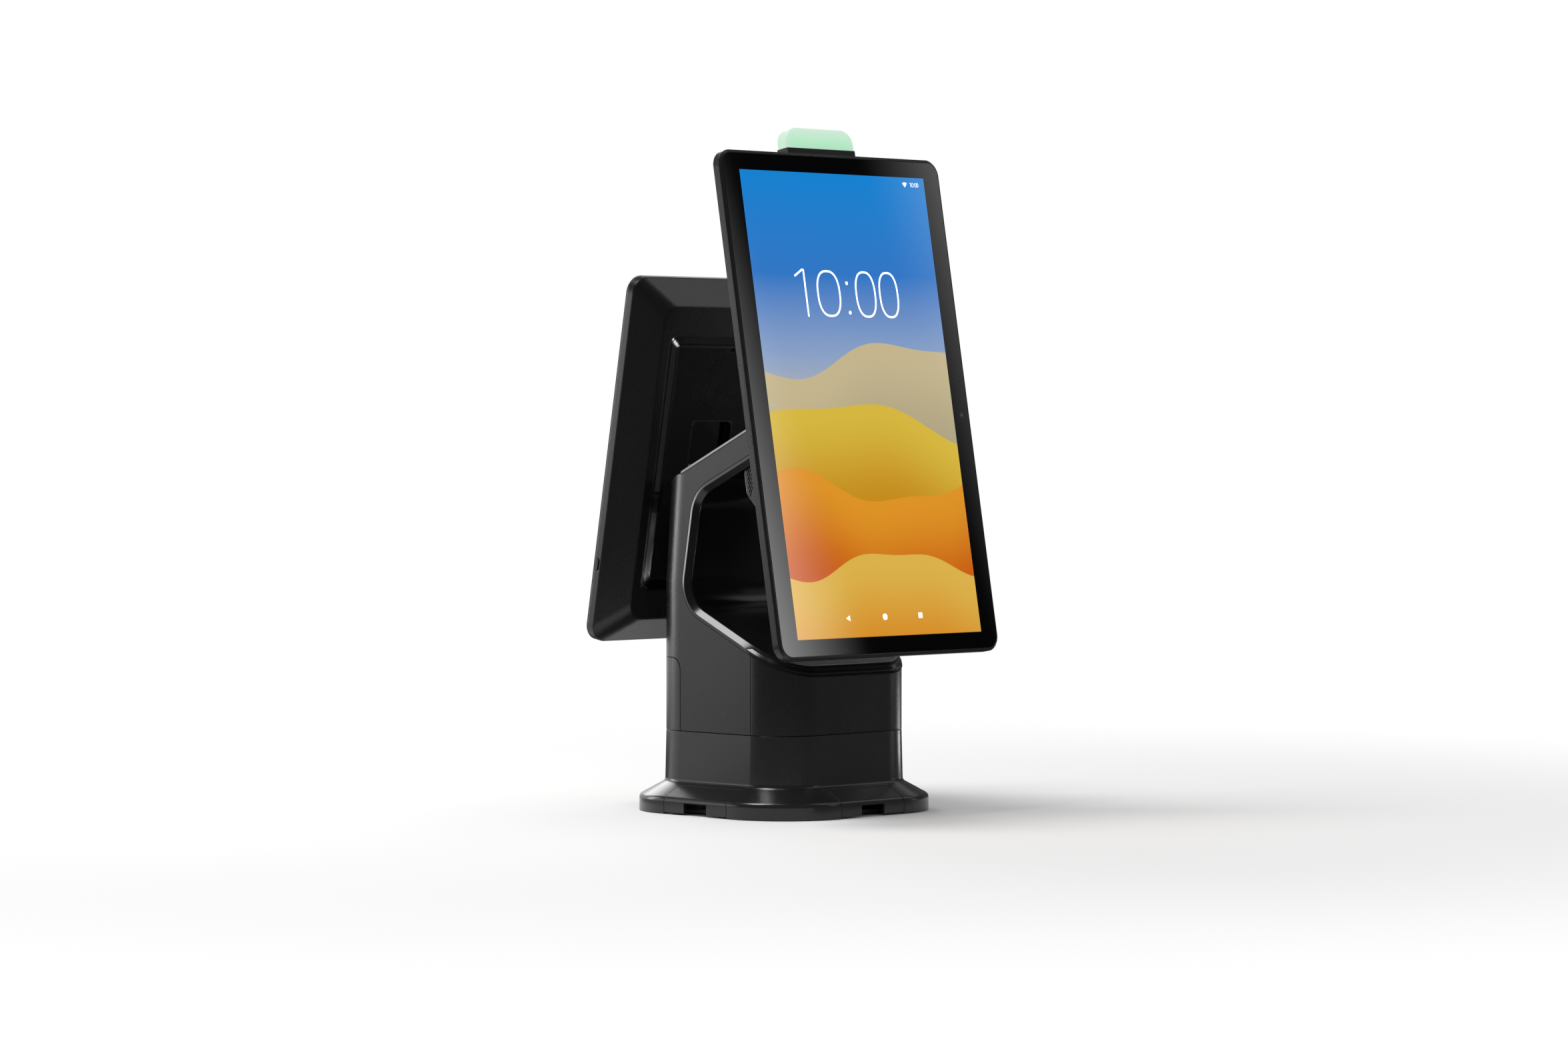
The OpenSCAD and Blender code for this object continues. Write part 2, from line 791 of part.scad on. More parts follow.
module bushes(shaft_r, half) {
  for (s = [-1, 1]) rotate([0, 0, s > 0 ? 0 : 180]) difference() {
    bar_x(shaft_r + run_gap + bush_t - fit_gap, half - bush_l, half);
    bar_x(shaft_r + run_gap, half - bush_l - 1, half + 1);
  }
}

module washers(shaft_r, half) {
  for (s = [-1, 1]) rotate([0, 0, s > 0 ? 0 : 180]) difference() {
    bar_x(shaft_r + washer_out, half + stack_gap, half + stack_gap + washer_t);
    bar_x(shaft_r + fit_gap, half - 1, half + washer_t + 1);
  }
}

module nuts(shaft_r, ear_out) {
  for (s = [-1, 1]) rotate([0, 0, s > 0 ? 0 : 180]) difference() {
    bar_x(shaft_r * nut_r, ear_out + stack_gap, ear_out + stack_gap + nut_t, $fn = 6);
    bar_x(shaft_r + fit_gap, ear_out - 1, ear_out + nut_t + 1);
  }
}

// Two ears that reach from a plate at depth from to the axis at depth to
module ears(from, to, inner, shaft_r) {
  for (s = [-1, 1]) translate([s > 0 ? inner : -inner - ear_t, 0, 0]) difference() {
    union() {
      translate([0, from, -ear_r]) cube([ear_t, to - from, 2 * ear_r]);
      translate([0, to, 0]) bar_x(ear_r, 0, ear_t);
    }
    translate([0, to, 0]) bar_x(shaft_r + fit_gap, -1, ear_t + 1);
  }
}

module main_axis() {
  main_place() translate([0, main_axis_w, main_axis_v]) children();
}

module rear_axis() {
  rear_place() translate([0, rear_axis_w, rear_axis_v]) children();
}

module main_bushes() color("#c8a24a") beam_place() bushes(main_shaft_r, main_barrel);
module rear_bushes() color("#c8a24a") rear_axis() bushes(rear_shaft_r, rear_barrel);
module main_washers() color("#c4c6c8") main_axis() washers(main_shaft_r, main_barrel);
module rear_washers() color("#c4c6c8") rear_axis() washers(rear_shaft_r, rear_barrel);
module main_hinge_nuts() color("#b0b2b4") main_axis() nuts(main_shaft_r, main_ear_out);
module rear_hinge_nuts() color("#b0b2b4") rear_axis() nuts(rear_shaft_r, rear_ear_out);

module main_shaft() color("#c4c6c8") main_axis()
  bar_x(main_shaft_r, -main_ear_out - nut_t - 1, main_ear_out + nut_t + 1);

module rear_shaft() color("#c4c6c8") rear_axis()
  bar_x(rear_shaft_r, -rear_ear_out - nut_t - 1, rear_ear_out + nut_t + 1);

// Screws with a round head, in a grid, head resting at depth seat
module screws(grid, r, head_r, head_t, seat, length) {
  for (p = grid) translate([p[0], 0, p[1]]) {
    bar_y(head_r, seat, seat + head_t);
    bar_y(r, seat - length, seat + eps);
  }
}

module holes(grid, r, from, to) {
  for (p = grid) translate([p[0], 0, p[1]]) bar_y(r, from, to);
}

main_plate_from = main_d + stack_gap;
main_plate_to = main_plate_from + mount_plate_t;
main_vesa_grid = [for (x = [-1, 1], y = [-1, 1]) [x * vesa / 2, y * vesa / 2]];
main_plate_half = vesa / 2 + 12;

module main_mount_plate() color("#9a9da1") main_place() difference() {
  union() {
    slab(2 * main_plate_half, 2 * main_plate_half, 6, main_plate_from, main_plate_to);
    translate([0, 0, main_axis_v]) ears(main_plate_to - eps, main_axis_w, main_ear_in, main_shaft_r);
  }
  holes(main_vesa_grid, mount_screw_r + 0.2, 0, main_plate_to + 1);
}

module main_mount_screws() color("#b0b2b4") main_place()
  screws(main_vesa_grid, mount_screw_r, mount_head_r, mount_head_t, main_plate_to + stack_gap, main_mount_screw_l);

// The hub seen from the side: depth behind the front plane, height on the plane
module hub_side() {
  polygon([[main_d, hub_low], [hub_d - hub_heel, hub_low], [hub_d - hub_toe[0], hub_low + hub_toe[1]],
    [hub_d - hub_edge, hub_back_low - 2 * hub_edge], [hub_d, hub_back_low], [hub_d, hub_back_top],
    [hub_d - hub_edge, hub_back_top + 2 * hub_edge], [hub_d - hub_brow[0], hub_back_top + hub_brow[1]],
    [hub_shelf, hub_back_top + hub_shelf_rise], [hub_shelf, hub_top - 2 * hub_edge],
    [hub_shelf - hub_lip, hub_top], [main_d, hub_top]]);
}

module hub_solid(inset) {
  half = hub_half - inset;
  intersection() {
    across(half) offset(delta = -inset) hub_side();
    translate([0, 0, -far / 2]) linear_extrude(far)
      translate([0, hub_d / 2 - inset]) rr2(2 * half, hub_d, hub_round - inset);
  }
}

module hub_housing() color("#232426") main_place() difference() {
  translate([0, stack_gap, 0]) hub_solid(0);
  difference() {
    hub_solid(hub_wall);
    translate([-far / 2, main_d - far, -far / 2]) cube(far);
  }
  translate([-main_plate_half - 2, 0, -main_plate_half - 2])
    cube([2 * main_plate_half + 4, main_plate_to + 1, 2 * main_plate_half + 4]);
  translate([-hub_mouth, main_d + 14, hub_low + 44]) cube([2 * hub_mouth, far, 60]);
  for (s = [-1, 1], i = [0:slot_count - 1])
    translate([s * hub_half, hub_slot_w, hub_slot_v + i * slot_pitch]) rotate([-slot_lean, 0, 0]) {
      cube([4 * hub_wall, slot_l, slot_w], center = true);
      translate([0, -groove_shift, 0]) cube([2 * groove_d, groove_l, slot_w], center = true);
    }
}

// Display pieces, drawn in a display's own frame

module display_outer(d) {
  slab(d[0], d[1], d[2], back_from, d[3]);
  bevel(d[0], d[1], d[2], d[3] - eps, d[0] - 2 * d[5], d[1] - 2 * d[5], d[2], d[4]);
}

module display_inner(d) {
  t = shell_t;
  slab(d[0] - 2 * t, d[1] - 2 * t, d[2] - t, 0, d[3] + eps);
  bevel(d[0] - 2 * t, d[1] - 2 * t, d[2] - t, d[3], d[0] - 2 * (t + d[5]), d[1] - 2 * (t + d[5]),
    d[2] - t, d[4] - t);
}

module display_frame(d) {
  c = 2 * frame_chamfer;
  g = 2 * (glass_gap - rim_w);
  difference() {
    union() {
      bevel(d[0] - c, d[1] - c, d[2] - frame_chamfer, frame_set, d[0], d[1], d[2],
        frame_d - frame_flat);
      slab(d[0], d[1], d[2], frame_d - frame_flat - eps, frame_d);
    }
    slab(d[0] + g, d[1] + g, d[2] + g / 2, -1, frame_d + 1);
  }
}

module display_glass(d) {
  slab(d[0] - 2 * rim_w, d[1] - 2 * rim_w, d[2] - rim_w, 0, glass_t);
}

module display_panel(d) {
  b = 2 * panel_border;
  slab(d[6] + b, d[7] + b, 2, panel_from, panel_from + panel_t);
}

// Chassis sheet with the standoffs of a board of the given size and height
module display_chassis(d, board, board_v) {
  c = 2 * chassis_inset;
  slab(d[0] - c, d[1] - c, d[2] - chassis_inset / 2, chassis_from, chassis_to);
  for (x = [-1, 1], z = [-1, 1])
    translate([x * (board[0] / 2 - 5), 0, board_v + z * (board[1] / 2 - 5)])
      bar_y(standoff_r, chassis_to - eps, chassis_to + standoff_h);
}

module circuit_board(size, v) {
  translate([0, 0, v]) {
    slab(size[0], size[1], 2, board_from, board_to);
    for (x = [-1, 1], z = [-1, 1])
      slab_at(x * size[0] / 5, z * size[1] / 5, size[0] / 6, board_to - eps, board_to + chip_h);
  }
}

module slab_at(x, z, w, from, to) {
  translate([x, 0, z]) slab(w, w, 1, from, to);
}

// A pill standing across a side wall: length along the height, width along the depth
module side_pill(l, w, x0, x1) {
  translate([x0, 0, 0]) rotate([90, 0, 90]) linear_extrude(x1 - x0) rr2(w, l, w / 2 - eps);
}

button_w_mid = 6.8;

module power_button(d, v) {
  wall_in = d[0] / 2 - shell_t;
  translate([0, button_w_mid, v]) {
    side_pill(button_l, button_w, wall_in - button_gap - eps, d[0] / 2 + button_travel);
    side_pill(button_l + 2 * button_flange, button_w + 2 * button_flange,
      wall_in - button_gap - button_flange_t, wall_in - button_gap);
  }
}

module button_hole(d, v) {
  translate([0, button_w_mid, v])
    side_pill(button_l + 2 * button_gap, button_w + 2 * button_gap, d[0] / 2 - 2 * shell_t, d[0]);
}

module cover_pill(gap, x0, x1) {
  translate([0, (cover_from + cover_to) / 2, (cover_v0 + cover_v1) / 2])
    side_pill(cover_v1 - cover_v0 + 2 * gap, cover_to - cover_from + 2 * gap, x0, x1);
}

// Large display

main_screw_grid = [for (x = [-1, 1], v = main_screw_v) [x * main_screw_u, v]];

module main_back() color("#2b2c2e") main_place() difference() {
  union() {
    difference() {
      display_outer(MAIN);
      display_inner(MAIN);
    }
    holes(main_screw_grid, back_boss_r, chassis_to + stack_gap, main_d - shell_t + eps);
    holes(main_vesa_grid, mount_boss_r, main_d - shell_t - mount_boss_l, main_d - shell_t + eps);
  }
  holes(main_screw_grid, back_screw_r + 0.1, 0, far);
  holes(main_screw_grid, back_head_r + head_gap, main_d - back_head_t - head_gap, far);
  holes(main_vesa_grid, mount_screw_r + fit_gap, 0, far);
  button_hole(MAIN, main_button_v);
  cover_pill(cover_gap, -main_w, -main_w / 2 + 2 * shell_t);
}

module main_screws() color("#b0b2b4") main_place()
  screws(main_screw_grid, back_screw_r, back_head_r, back_head_t,
    main_d - back_head_t - head_gap + stack_gap, 18);

module main_frame() color("#2b2c2e") main_place() display_frame(MAIN);
module main_glass() color("#08080a") main_place() display_glass(MAIN);
module main_panel() color("#d8a23c") main_place() display_panel(MAIN);

module main_chassis() color("#a8abae") main_place()
  display_chassis(MAIN, main_board_size, main_board_v);

module main_board() color("#1f5a3a") main_place() circuit_board(main_board_size, main_board_v);

module main_speakers() color("#3a3b3d") main_place() for (s = [-1, 1])
  translate([s * main_speaker_u, 0, main_speaker_v])
    slab(main_speaker_size[0], main_speaker_size[1], 4, chassis_to + stack_gap,
      chassis_to + main_speaker_t);

module main_camera() color("#3a3b3d") main_place() translate([camera_u, 0, 0])
  bar_y(camera_r, panel_from, panel_from + camera_d);

module port_cover() color("#2b2c2e") main_place()
  cover_pill(0, -main_w / 2, -main_w / 2 + cover_t);

module main_button() color("#3a3b3d") main_place() power_button(MAIN, main_button_v);

// Light bar

bar_v = main_h / 2;

// Diffuser outline: the bar seen from the front, shrunk by d
module bar_front(d) {
  w = bar_w - 2 * d;
  r = max(bar_r - d, 1);
  foot = bar_v + bar_foot_h + stack_gap;
  top = bar_v + bar_h - d;
  intersection() {
    union() {
      for (s = [-1, 1]) translate([s * (w / 2 - r), top - r]) circle(r);
      translate([-w / 2, top - r - bar_h]) square([w, bar_h]);
      translate([-w / 2 + r, top - bar_h]) square([w - 2 * r, bar_h]);
    }
    translate([-bar_w, foot]) square([2 * bar_w, bar_h]);
  }
}

module bar_slice(d, from, to) {
  translate([0, to, 0]) rotate([90, 0, 0]) linear_extrude(to - from) bar_front(d, $fn = hull_fn);
}

bar_edge = 1.6;
bar_skin = 2.5;

module light_diffuser() color("#a8e6bd") main_place() difference() {
  hull() {
    bar_slice(bar_edge, bar_back, bar_back + eps);
    bar_slice(0, bar_back + bar_edge, bar_back + bar_d - bar_edge);
    bar_slice(bar_edge, bar_back + bar_d - eps, bar_back + bar_d);
  }
  translate([0, 0, -bar_skin]) bar_slice(bar_skin, bar_back + bar_skin, bar_back + bar_d - bar_skin);
}

module light_foot() color("#2b2c2e") main_place() difference() {
  translate([-bar_w / 2, bar_back, bar_v - main_bevel])
    cube([bar_w, bar_d, main_bevel + bar_foot_h]);
  translate([0, stack_gap, stack_gap]) display_outer(MAIN);
}

module light_board() color("#e8e8e0") main_place()
  translate([-bar_w / 2 + 6, bar_back + bar_d / 2 - 2.5, bar_v + bar_foot_h + stack_gap])
    cube([bar_w - 12, 5, 2.5]);

// Small display

rear_screw_grid = [for (x = [-1, 1], v = rear_screw_v) [x * rear_screw_u, v]];
rear_vesa_grid = [for (x = [-1, 1], y = [-1, 1])
  [x * rear_vesa_u / 2, rear_plate_v + y * rear_vesa_v / 2]];
rear_plate_from = pocket_floor + stack_gap;
rear_plate_to = rear_plate_from + mount_plate_t;

// The recess round the ribbed panel, grown by t and starting at depth from
module hatch_recess(t, from) {
  g = 2 * t;
  bevel(hatch_w + g, hatch_h + g, hatch_r + t, rear_d - hatch_deep - eps,
    hatch_w + 2 * step_w + g, hatch_h + 2 * step_h + g, recess_r + t, rear_d + eps);
  slab(hatch_w + g, hatch_h + g, hatch_r + t, from, rear_d - hatch_deep);
}

module pocket(t, from, to) {
  translate([0, 0, (pocket_v0 + pocket_v1) / 2])
    slab(pocket_w + 2 * t, pocket_v1 - pocket_v0 + 2 * t, pocket_r + t, from, to);
}

module rear_back() color("#2b2c2e") rear_place() difference() {
  union() {
    difference() {
      display_outer(REAR);
      difference() {
        display_inner(REAR);
        hatch_recess(shell_t, hatch_from - stack_gap - shell_t);
        pocket(pocket_wall, pocket_floor - pocket_wall, rear_d);
      }
    }
    holes(rear_screw_grid, back_boss_r, chassis_to + stack_gap, hatch_seat - eps);
    holes(rear_vesa_grid, back_boss_r, chassis_to + stack_gap, pocket_floor - eps);
  }
  hatch_recess(0, hatch_from - stack_gap);
  pocket(0, pocket_floor, rear_d + 1);
  holes(rear_screw_grid, back_screw_r + 0.1, 0, far);
  holes(rear_screw_grid, back_head_r + head_gap, hatch_seat - back_head_t - head_gap, far);
  holes(rear_vesa_grid, mount_screw_r + fit_gap, 0, far);
  button_hole(REAR, rear_button_v);
}

module hatch_panel() color("#1b1c1d") rear_place() difference() {
  slab(hatch_w - 0.4, hatch_h - 0.4, hatch_r - 0.2, hatch_from, hatch_from + hatch_t);
  pocket(0, 0, rear_d);
  translate([notch_mark_u - notch_mark[0] / 2, 0, hatch_h / 2 - notch_mark[1] - 3])
    cube([notch_mark[0], far, notch_mark[1]]);
}

module rear_mount_plate() color("#9a9da1") rear_place() difference() {
  union() {
    translate([0, 0, rear_plate_v])
      slab(rear_plate_size[0], rear_plate_size[1], 4, rear_plate_from, rear_plate_to);
    translate([0, 0, rear_axis_v]) ears(rear_plate_to - eps, rear_axis_w, rear_ear_in, rear_shaft_r);
  }
  holes(rear_vesa_grid, mount_screw_r + 0.2, 0, rear_plate_to + 1);
}

module rear_mount_screws() color("#b0b2b4") rear_place()
  screws(rear_vesa_grid, mount_screw_r, mount_head_r, mount_head_t, rear_plate_to + stack_gap, rear_mount_screw_l);

module rear_screws() color("#b0b2b4") rear_place()
  screws(rear_screw_grid, back_screw_r, back_head_r, back_head_t,
    hatch_seat - back_head_t - head_gap + stack_gap, rear_screw_l);

module rear_frame() color("#2b2c2e") rear_place() display_frame(REAR);
module rear_glass() color("#08080a") rear_place() display_glass(REAR);
module rear_panel() color("#d8a23c") rear_place() display_panel(REAR);

module rear_chassis() color("#a8abae") rear_place()
  display_chassis(REAR, rear_board_size, rear_board_v);

module rear_board() color("#1f5a3a") rear_place() circuit_board(rear_board_size, rear_board_v);

module rear_speaker() color("#3a3b3d") rear_place() translate([0, 0, rear_speaker_v])
  slab(rear_speaker_size[0], rear_speaker_size[1], 4, chassis_to + stack_gap,
    chassis_to + rear_speaker_t);

module rear_button() color("#3a3b3d") rear_place() power_button(REAR, rear_button_v);

base_plate();
rubber_feet();
base_screws();
base_skirt();
cable_cover_front();
cable_cover_rear();
cable_cover_left();
cable_cover_right();
post();
arm_beam();
front_cover();
neck_shell();
neck_liner();
rear_door();
power_supply();
io_board();
io_ports();
rear_bracket();
main_bushes();
rear_bushes();
main_mount_plate();
main_mount_screws();
main_shaft();
main_hinge_nuts();
main_washers();
hub_housing();
main_back();
main_frame();
main_glass();
main_panel();
main_chassis();
main_board();
main_speakers();
main_camera();
port_cover();
main_screws();
light_foot();
light_board();
light_diffuser();
main_button();
rear_mount_plate();
rear_mount_screws();
rear_shaft();
rear_hinge_nuts();
rear_washers();
rear_back();
rear_frame();
rear_glass();
rear_panel();
rear_chassis();
rear_board();
hatch_panel();
rear_speaker();
rear_screws();
rear_button();
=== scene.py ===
import math

import bmesh
import bpy
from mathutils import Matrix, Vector


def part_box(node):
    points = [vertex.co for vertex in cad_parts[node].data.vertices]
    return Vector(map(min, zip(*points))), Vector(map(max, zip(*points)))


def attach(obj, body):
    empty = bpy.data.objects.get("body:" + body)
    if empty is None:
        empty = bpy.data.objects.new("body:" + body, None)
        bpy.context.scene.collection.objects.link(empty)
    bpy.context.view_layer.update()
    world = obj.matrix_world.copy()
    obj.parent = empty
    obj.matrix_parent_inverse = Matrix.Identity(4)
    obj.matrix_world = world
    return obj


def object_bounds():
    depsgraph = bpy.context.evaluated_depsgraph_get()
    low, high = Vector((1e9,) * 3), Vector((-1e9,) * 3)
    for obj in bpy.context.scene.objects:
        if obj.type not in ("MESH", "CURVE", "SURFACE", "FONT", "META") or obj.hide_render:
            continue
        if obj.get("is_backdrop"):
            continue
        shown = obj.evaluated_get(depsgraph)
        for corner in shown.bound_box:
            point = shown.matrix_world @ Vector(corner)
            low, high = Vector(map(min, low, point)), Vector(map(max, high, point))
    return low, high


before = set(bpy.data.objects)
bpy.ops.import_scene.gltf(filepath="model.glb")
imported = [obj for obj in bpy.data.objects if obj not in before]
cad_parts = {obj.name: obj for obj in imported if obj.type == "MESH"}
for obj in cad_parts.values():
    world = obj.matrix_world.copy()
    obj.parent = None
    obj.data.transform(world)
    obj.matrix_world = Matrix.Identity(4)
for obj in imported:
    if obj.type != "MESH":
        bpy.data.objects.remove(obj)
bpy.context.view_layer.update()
scene = bpy.context.scene
scene.view_settings.view_transform = "Standard"

# The camera stands in front and to the left, level with the middle of the stand.
# A long lens keeps the upright edges nearly parallel.
camera = bpy.data.objects.new("camera", bpy.data.cameras.new("camera"))
camera.location = (-3.4232, -3.4232, 0.4055)
camera.rotation_euler = (math.radians(88.7099), 0, math.radians(-45))
camera.data.lens = 107.69
camera.data.sensor_width = 36
scene.collection.objects.link(camera)
scene.camera = camera


# The floor is a plain pale sheet that runs out to white all round.
# It keeps the soft shadow under the stand.
class Shade:
    """One socket of a material's nodes, so that shader sums read as plain arithmetic."""

    def __init__(self, tree, socket=None):
        self.tree = tree
        self.socket = socket

    def node(self, kind, settings=None, sockets=None, out=0):
        made = self.tree.nodes.new(kind)
        for name, value in (settings or {}).items():
            if name == "stops":
                stops = made.color_ramp.elements
                for place, _ in value[2:]:
                    stops.new(place)
                for stop, (place, colour) in zip(stops, value):
                    stop.position = place
                    stop.color = (*colour, 1)
            else:
                setattr(made, name, value)
        for key, value in (sockets or {}).items():
            if isinstance(value, Shade):
                self.tree.links.new(value.socket, made.inputs[key])
            else:
                made.inputs[key].default_value = value
        return Shade(self.tree, made.outputs[out] if made.outputs else None)

    def worked(self, operation, first, second):
        return self.node("ShaderNodeMath", {"operation": operation}, {0: first, 1: second})

    def then(self, operation, second=0.0):
        return self.worked(operation, self, second)

    def __add__(self, other):
        return self.worked("ADD", self, other)

    def __sub__(self, other):
        return self.worked("SUBTRACT", self, other)

    def __rsub__(self, other):
        return self.worked("SUBTRACT", other, self)

    def __mul__(self, other):
        return self.worked("MULTIPLY", self, other)

    def __truediv__(self, other):
        return self.worked("DIVIDE", self, other)

    __radd__ = __add__
    __rmul__ = __mul__


def new_finish(name):
    finish = bpy.data.materials.new(name)
    finish.use_nodes = True
    finish.node_tree.nodes.clear()
    return finish, Shade(finish.node_tree)


def smooth(value, low, high):
    return value.node("ShaderNodeMapRange", {"interpolation_type": "SMOOTHSTEP"},
                      {"Value": value, "From Min": low, "From Max": high})


def surface_point(shade):
    return shade.node("ShaderNodeTexCoord", out="Object")


def parts_of(point):
    return [point.node("ShaderNodeSeparateXYZ", None, {0: point}, out=axis) for axis in "XYZ"]


half_floor = 9
paper_ends, white_starts = 0.4, 1.5
finish, shade = new_finish("pale_floor")
x, y, _ = parts_of(surface_point(shade))
far = smooth((x * x + y * y).then("SQRT"), paper_ends, white_starts)
paper = shade.node("ShaderNodeBsdfDiffuse", None, {"Color": (0.93, 0.93, 0.93, 1)})
white = shade.node("ShaderNodeEmission", None, {"Color": (1, 1, 1, 1), "Strength": 1.0})
both = shade.node("ShaderNodeMixShader", None, {0: far, 1: paper, 2: white})
shade.node("ShaderNodeOutputMaterial", None, {"Surface": both})
sheet = bpy.data.meshes.new("floor")
sheet.from_pydata([(-half_floor, -half_floor, 0), (half_floor, -half_floor, 0),
                   (half_floor, half_floor, 0), (-half_floor, half_floor, 0)], [], [(0, 1, 2, 3)])
sheet.materials.append(finish)
floor = bpy.data.objects.new("floor", sheet)
scene.collection.objects.link(floor)
floor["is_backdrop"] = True

# The studio has one soft light overhead and a weak one behind, with even fill all round.
# Cards that only show in gloss stand or lie round it: dark screens, aprons and a ceiling,
# pale walls at the left, and a narrow strip and a floor glint at the right.
world = bpy.data.worlds.new("studio")
scene.world = world
world.use_nodes = True
world.node_tree.nodes.clear()
sky = Shade(world.node_tree)
to_camera, to_gloss, through_glass = [
    sky.node("ShaderNodeLightPath", out=name)
    for name in ("Is Camera Ray", "Is Glossy Ray", "Is Transmission Ray")]
direct = to_camera.then("MAXIMUM", to_gloss.then("MAXIMUM", through_glass))
bright = sky.node("ShaderNodeBackground", None, {"Color": (1, 1, 1, 1), "Strength": 1.0})
fill = sky.node("ShaderNodeBackground", None, {"Color": (1, 1, 1, 1), "Strength": 0.5})
lit = sky.node("ShaderNodeMixShader", None, {0: direct, 1: fill, 2: bright})
sky.node("ShaderNodeOutputWorld", None, {"Surface": lit})
stand_middle = Vector((0, 0, 0.35))


def soft_light(name, place, wide, high, watts):
    lamp = bpy.data.lights.new(name, "AREA")
    lamp.shape = "RECTANGLE"
    lamp.size = wide
    lamp.size_y = high
    lamp.energy = watts
    holder = bpy.data.objects.new(name, lamp)
    holder.location = place
    holder.rotation_euler = (stand_middle - Vector(place)).to_track_quat("-Z", "Y").to_euler()
    holder.visible_camera = False
    scene.collection.objects.link(holder)


soft_light("top_light", (-0.72, 0.52, 2.25), wide=0.9, high=0.9, watts=31)
soft_light("back_light", (0.9, 2.3, 1.3), wide=1.4, high=1.0, watts=14)


def reflector(name, points, faces, finish):
    mesh = bpy.data.meshes.new(name)
    mesh.from_pydata(points, [], faces)
    mesh.materials.append(finish)
    card = bpy.data.objects.new(name, mesh)
    card.visible_camera = False
    card.visible_shadow = False
    card.visible_diffuse = False
    card.visible_transmission = False
    scene.collection.objects.link(card)
    card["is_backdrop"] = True


def even_card(name, strength):
    finish, shade = new_finish(name)
    glow = shade.node("ShaderNodeEmission", None, {"Color": (1, 1, 1, 1), "Strength": strength})
    shade.node("ShaderNodeOutputMaterial", None, {"Surface": glow})
    return finish


def arc_wall(first, last, near, low, far, high, steps=32):
    turns = [math.radians(first + (last - first) * i / steps) for i in range(steps + 1)]
    points = [(r * math.cos(turn), r * math.sin(turn), z)
              for r, z in ((near, low), (far, high)) for turn in turns]
    return points, [(i, i + 1, i + steps + 2, i + steps + 1) for i in range(steps)]


def floor_card(left, right, front, back, z):
    return [(left, front, z), (right, front, z), (right, back, z), (left, back, z)], [(0, 1, 2, 3)]


dark_card = even_card("dark_card", 0.1)
reflector("dark_screen", *arc_wall(142, 330, 1.7, 0.01, 1.7, 1.6), dark_card)
reflector("dark_apron", *arc_wall(142, 330, 0.45, 0.004, 1.7, 0.004), dark_card)
reflector("right_screen", *arc_wall(-28, 38, 1.7, 0.01, 1.7, 1.0), dark_card)
reflector("right_strip", *arc_wall(-35, -29, 1.66, 0.01, 1.66, 0.4), even_card("right_strip", 1.5))
reflector("right_apron", *arc_wall(-30, 100, 0.30, 0.004, 1.7, 0.004), dark_card)
reflector("dark_ceiling", *arc_wall(-12, 300, 0.001, 2.4, 3.6, 2.4), dark_card)
reflector("under_card", *floor_card(-0.08, 0.5, -0.36, -0.165, 0.005), dark_card)
reflector("left_wall", *arc_wall(124, 142, 1.9, 0.28, 1.9, 1.1), even_card("pale_card", 1.8))
reflector("arm_card", *arc_wall(140, 147, 1.66, 0.2, 1.66, 0.62), even_card("arm_card", 1.8))
reflector("left_top", *arc_wall(119, 142, 1.86, 0.82, 1.86, 2.3), dark_card)
reflector("left_under", *arc_wall(118, 170, 0.19, 0.005, 0.32, 0.005), dark_card)
reflector("low_glint", *arc_wall(-7, 3, 1.0, 0.006, 1.25, 0.006), even_card("glint_card", 20.0))
reflector("left_card", *arc_wall(104, 118, 2.0, 0.14, 2.0, 1.3), even_card("bright_card", 6.0))


# The base plate is a cut steel sheet coated black, with screws up into the skirt and round rubber feet.
# The screws are turned steel, and the feet are cut from matt sheet rubber.
def dress(finish, *names):
    for name in names:
        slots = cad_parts[name].data.materials
        slots.clear()
        slots.append(finish)


def mixed(shade, share, first, second):
    ends = [(*end, 1) if isinstance(end, tuple) else end for end in (first, second)]
    return shade.node("ShaderNodeMix", {"data_type": "RGBA"}, {0: share, 6: ends[0], 7: ends[1]}, out=2)


def rounded(shade, radius):
    return shade.node("ShaderNodeBevel", {"samples": 4}, {"Radius": radius})


def coat(shade, sockets):
    skin = shade.node("ShaderNodeBsdfPrincipled", None, sockets)
    shade.node("ShaderNodeOutputMaterial", None, {"Surface": skin})


def brushed(name, colour, rough, along):
    finish, shade = new_finish(name)
    drawn = shade.node("ShaderNodeMapping", None, {"Vector": surface_point(shade), "Scale": along})
    lines = shade.node("ShaderNodeTexNoise", None, {"Vector": drawn, "Scale": 1.0, "Detail": 4.0})
    dark = tuple(0.72 * part for part in colour)
    relief = shade.node("ShaderNodeBump", None, {
        "Strength": 0.12, "Distance": 0.0001, "Height": lines, "Normal": rounded(shade, 0.0003)})
    coat(shade, {"Base Color": mixed(shade, lines, dark, colour), "Metallic": 1.0,
                 "Roughness": lines * 0.16 + (rough - 0.08), "Normal": relief})
    return finish


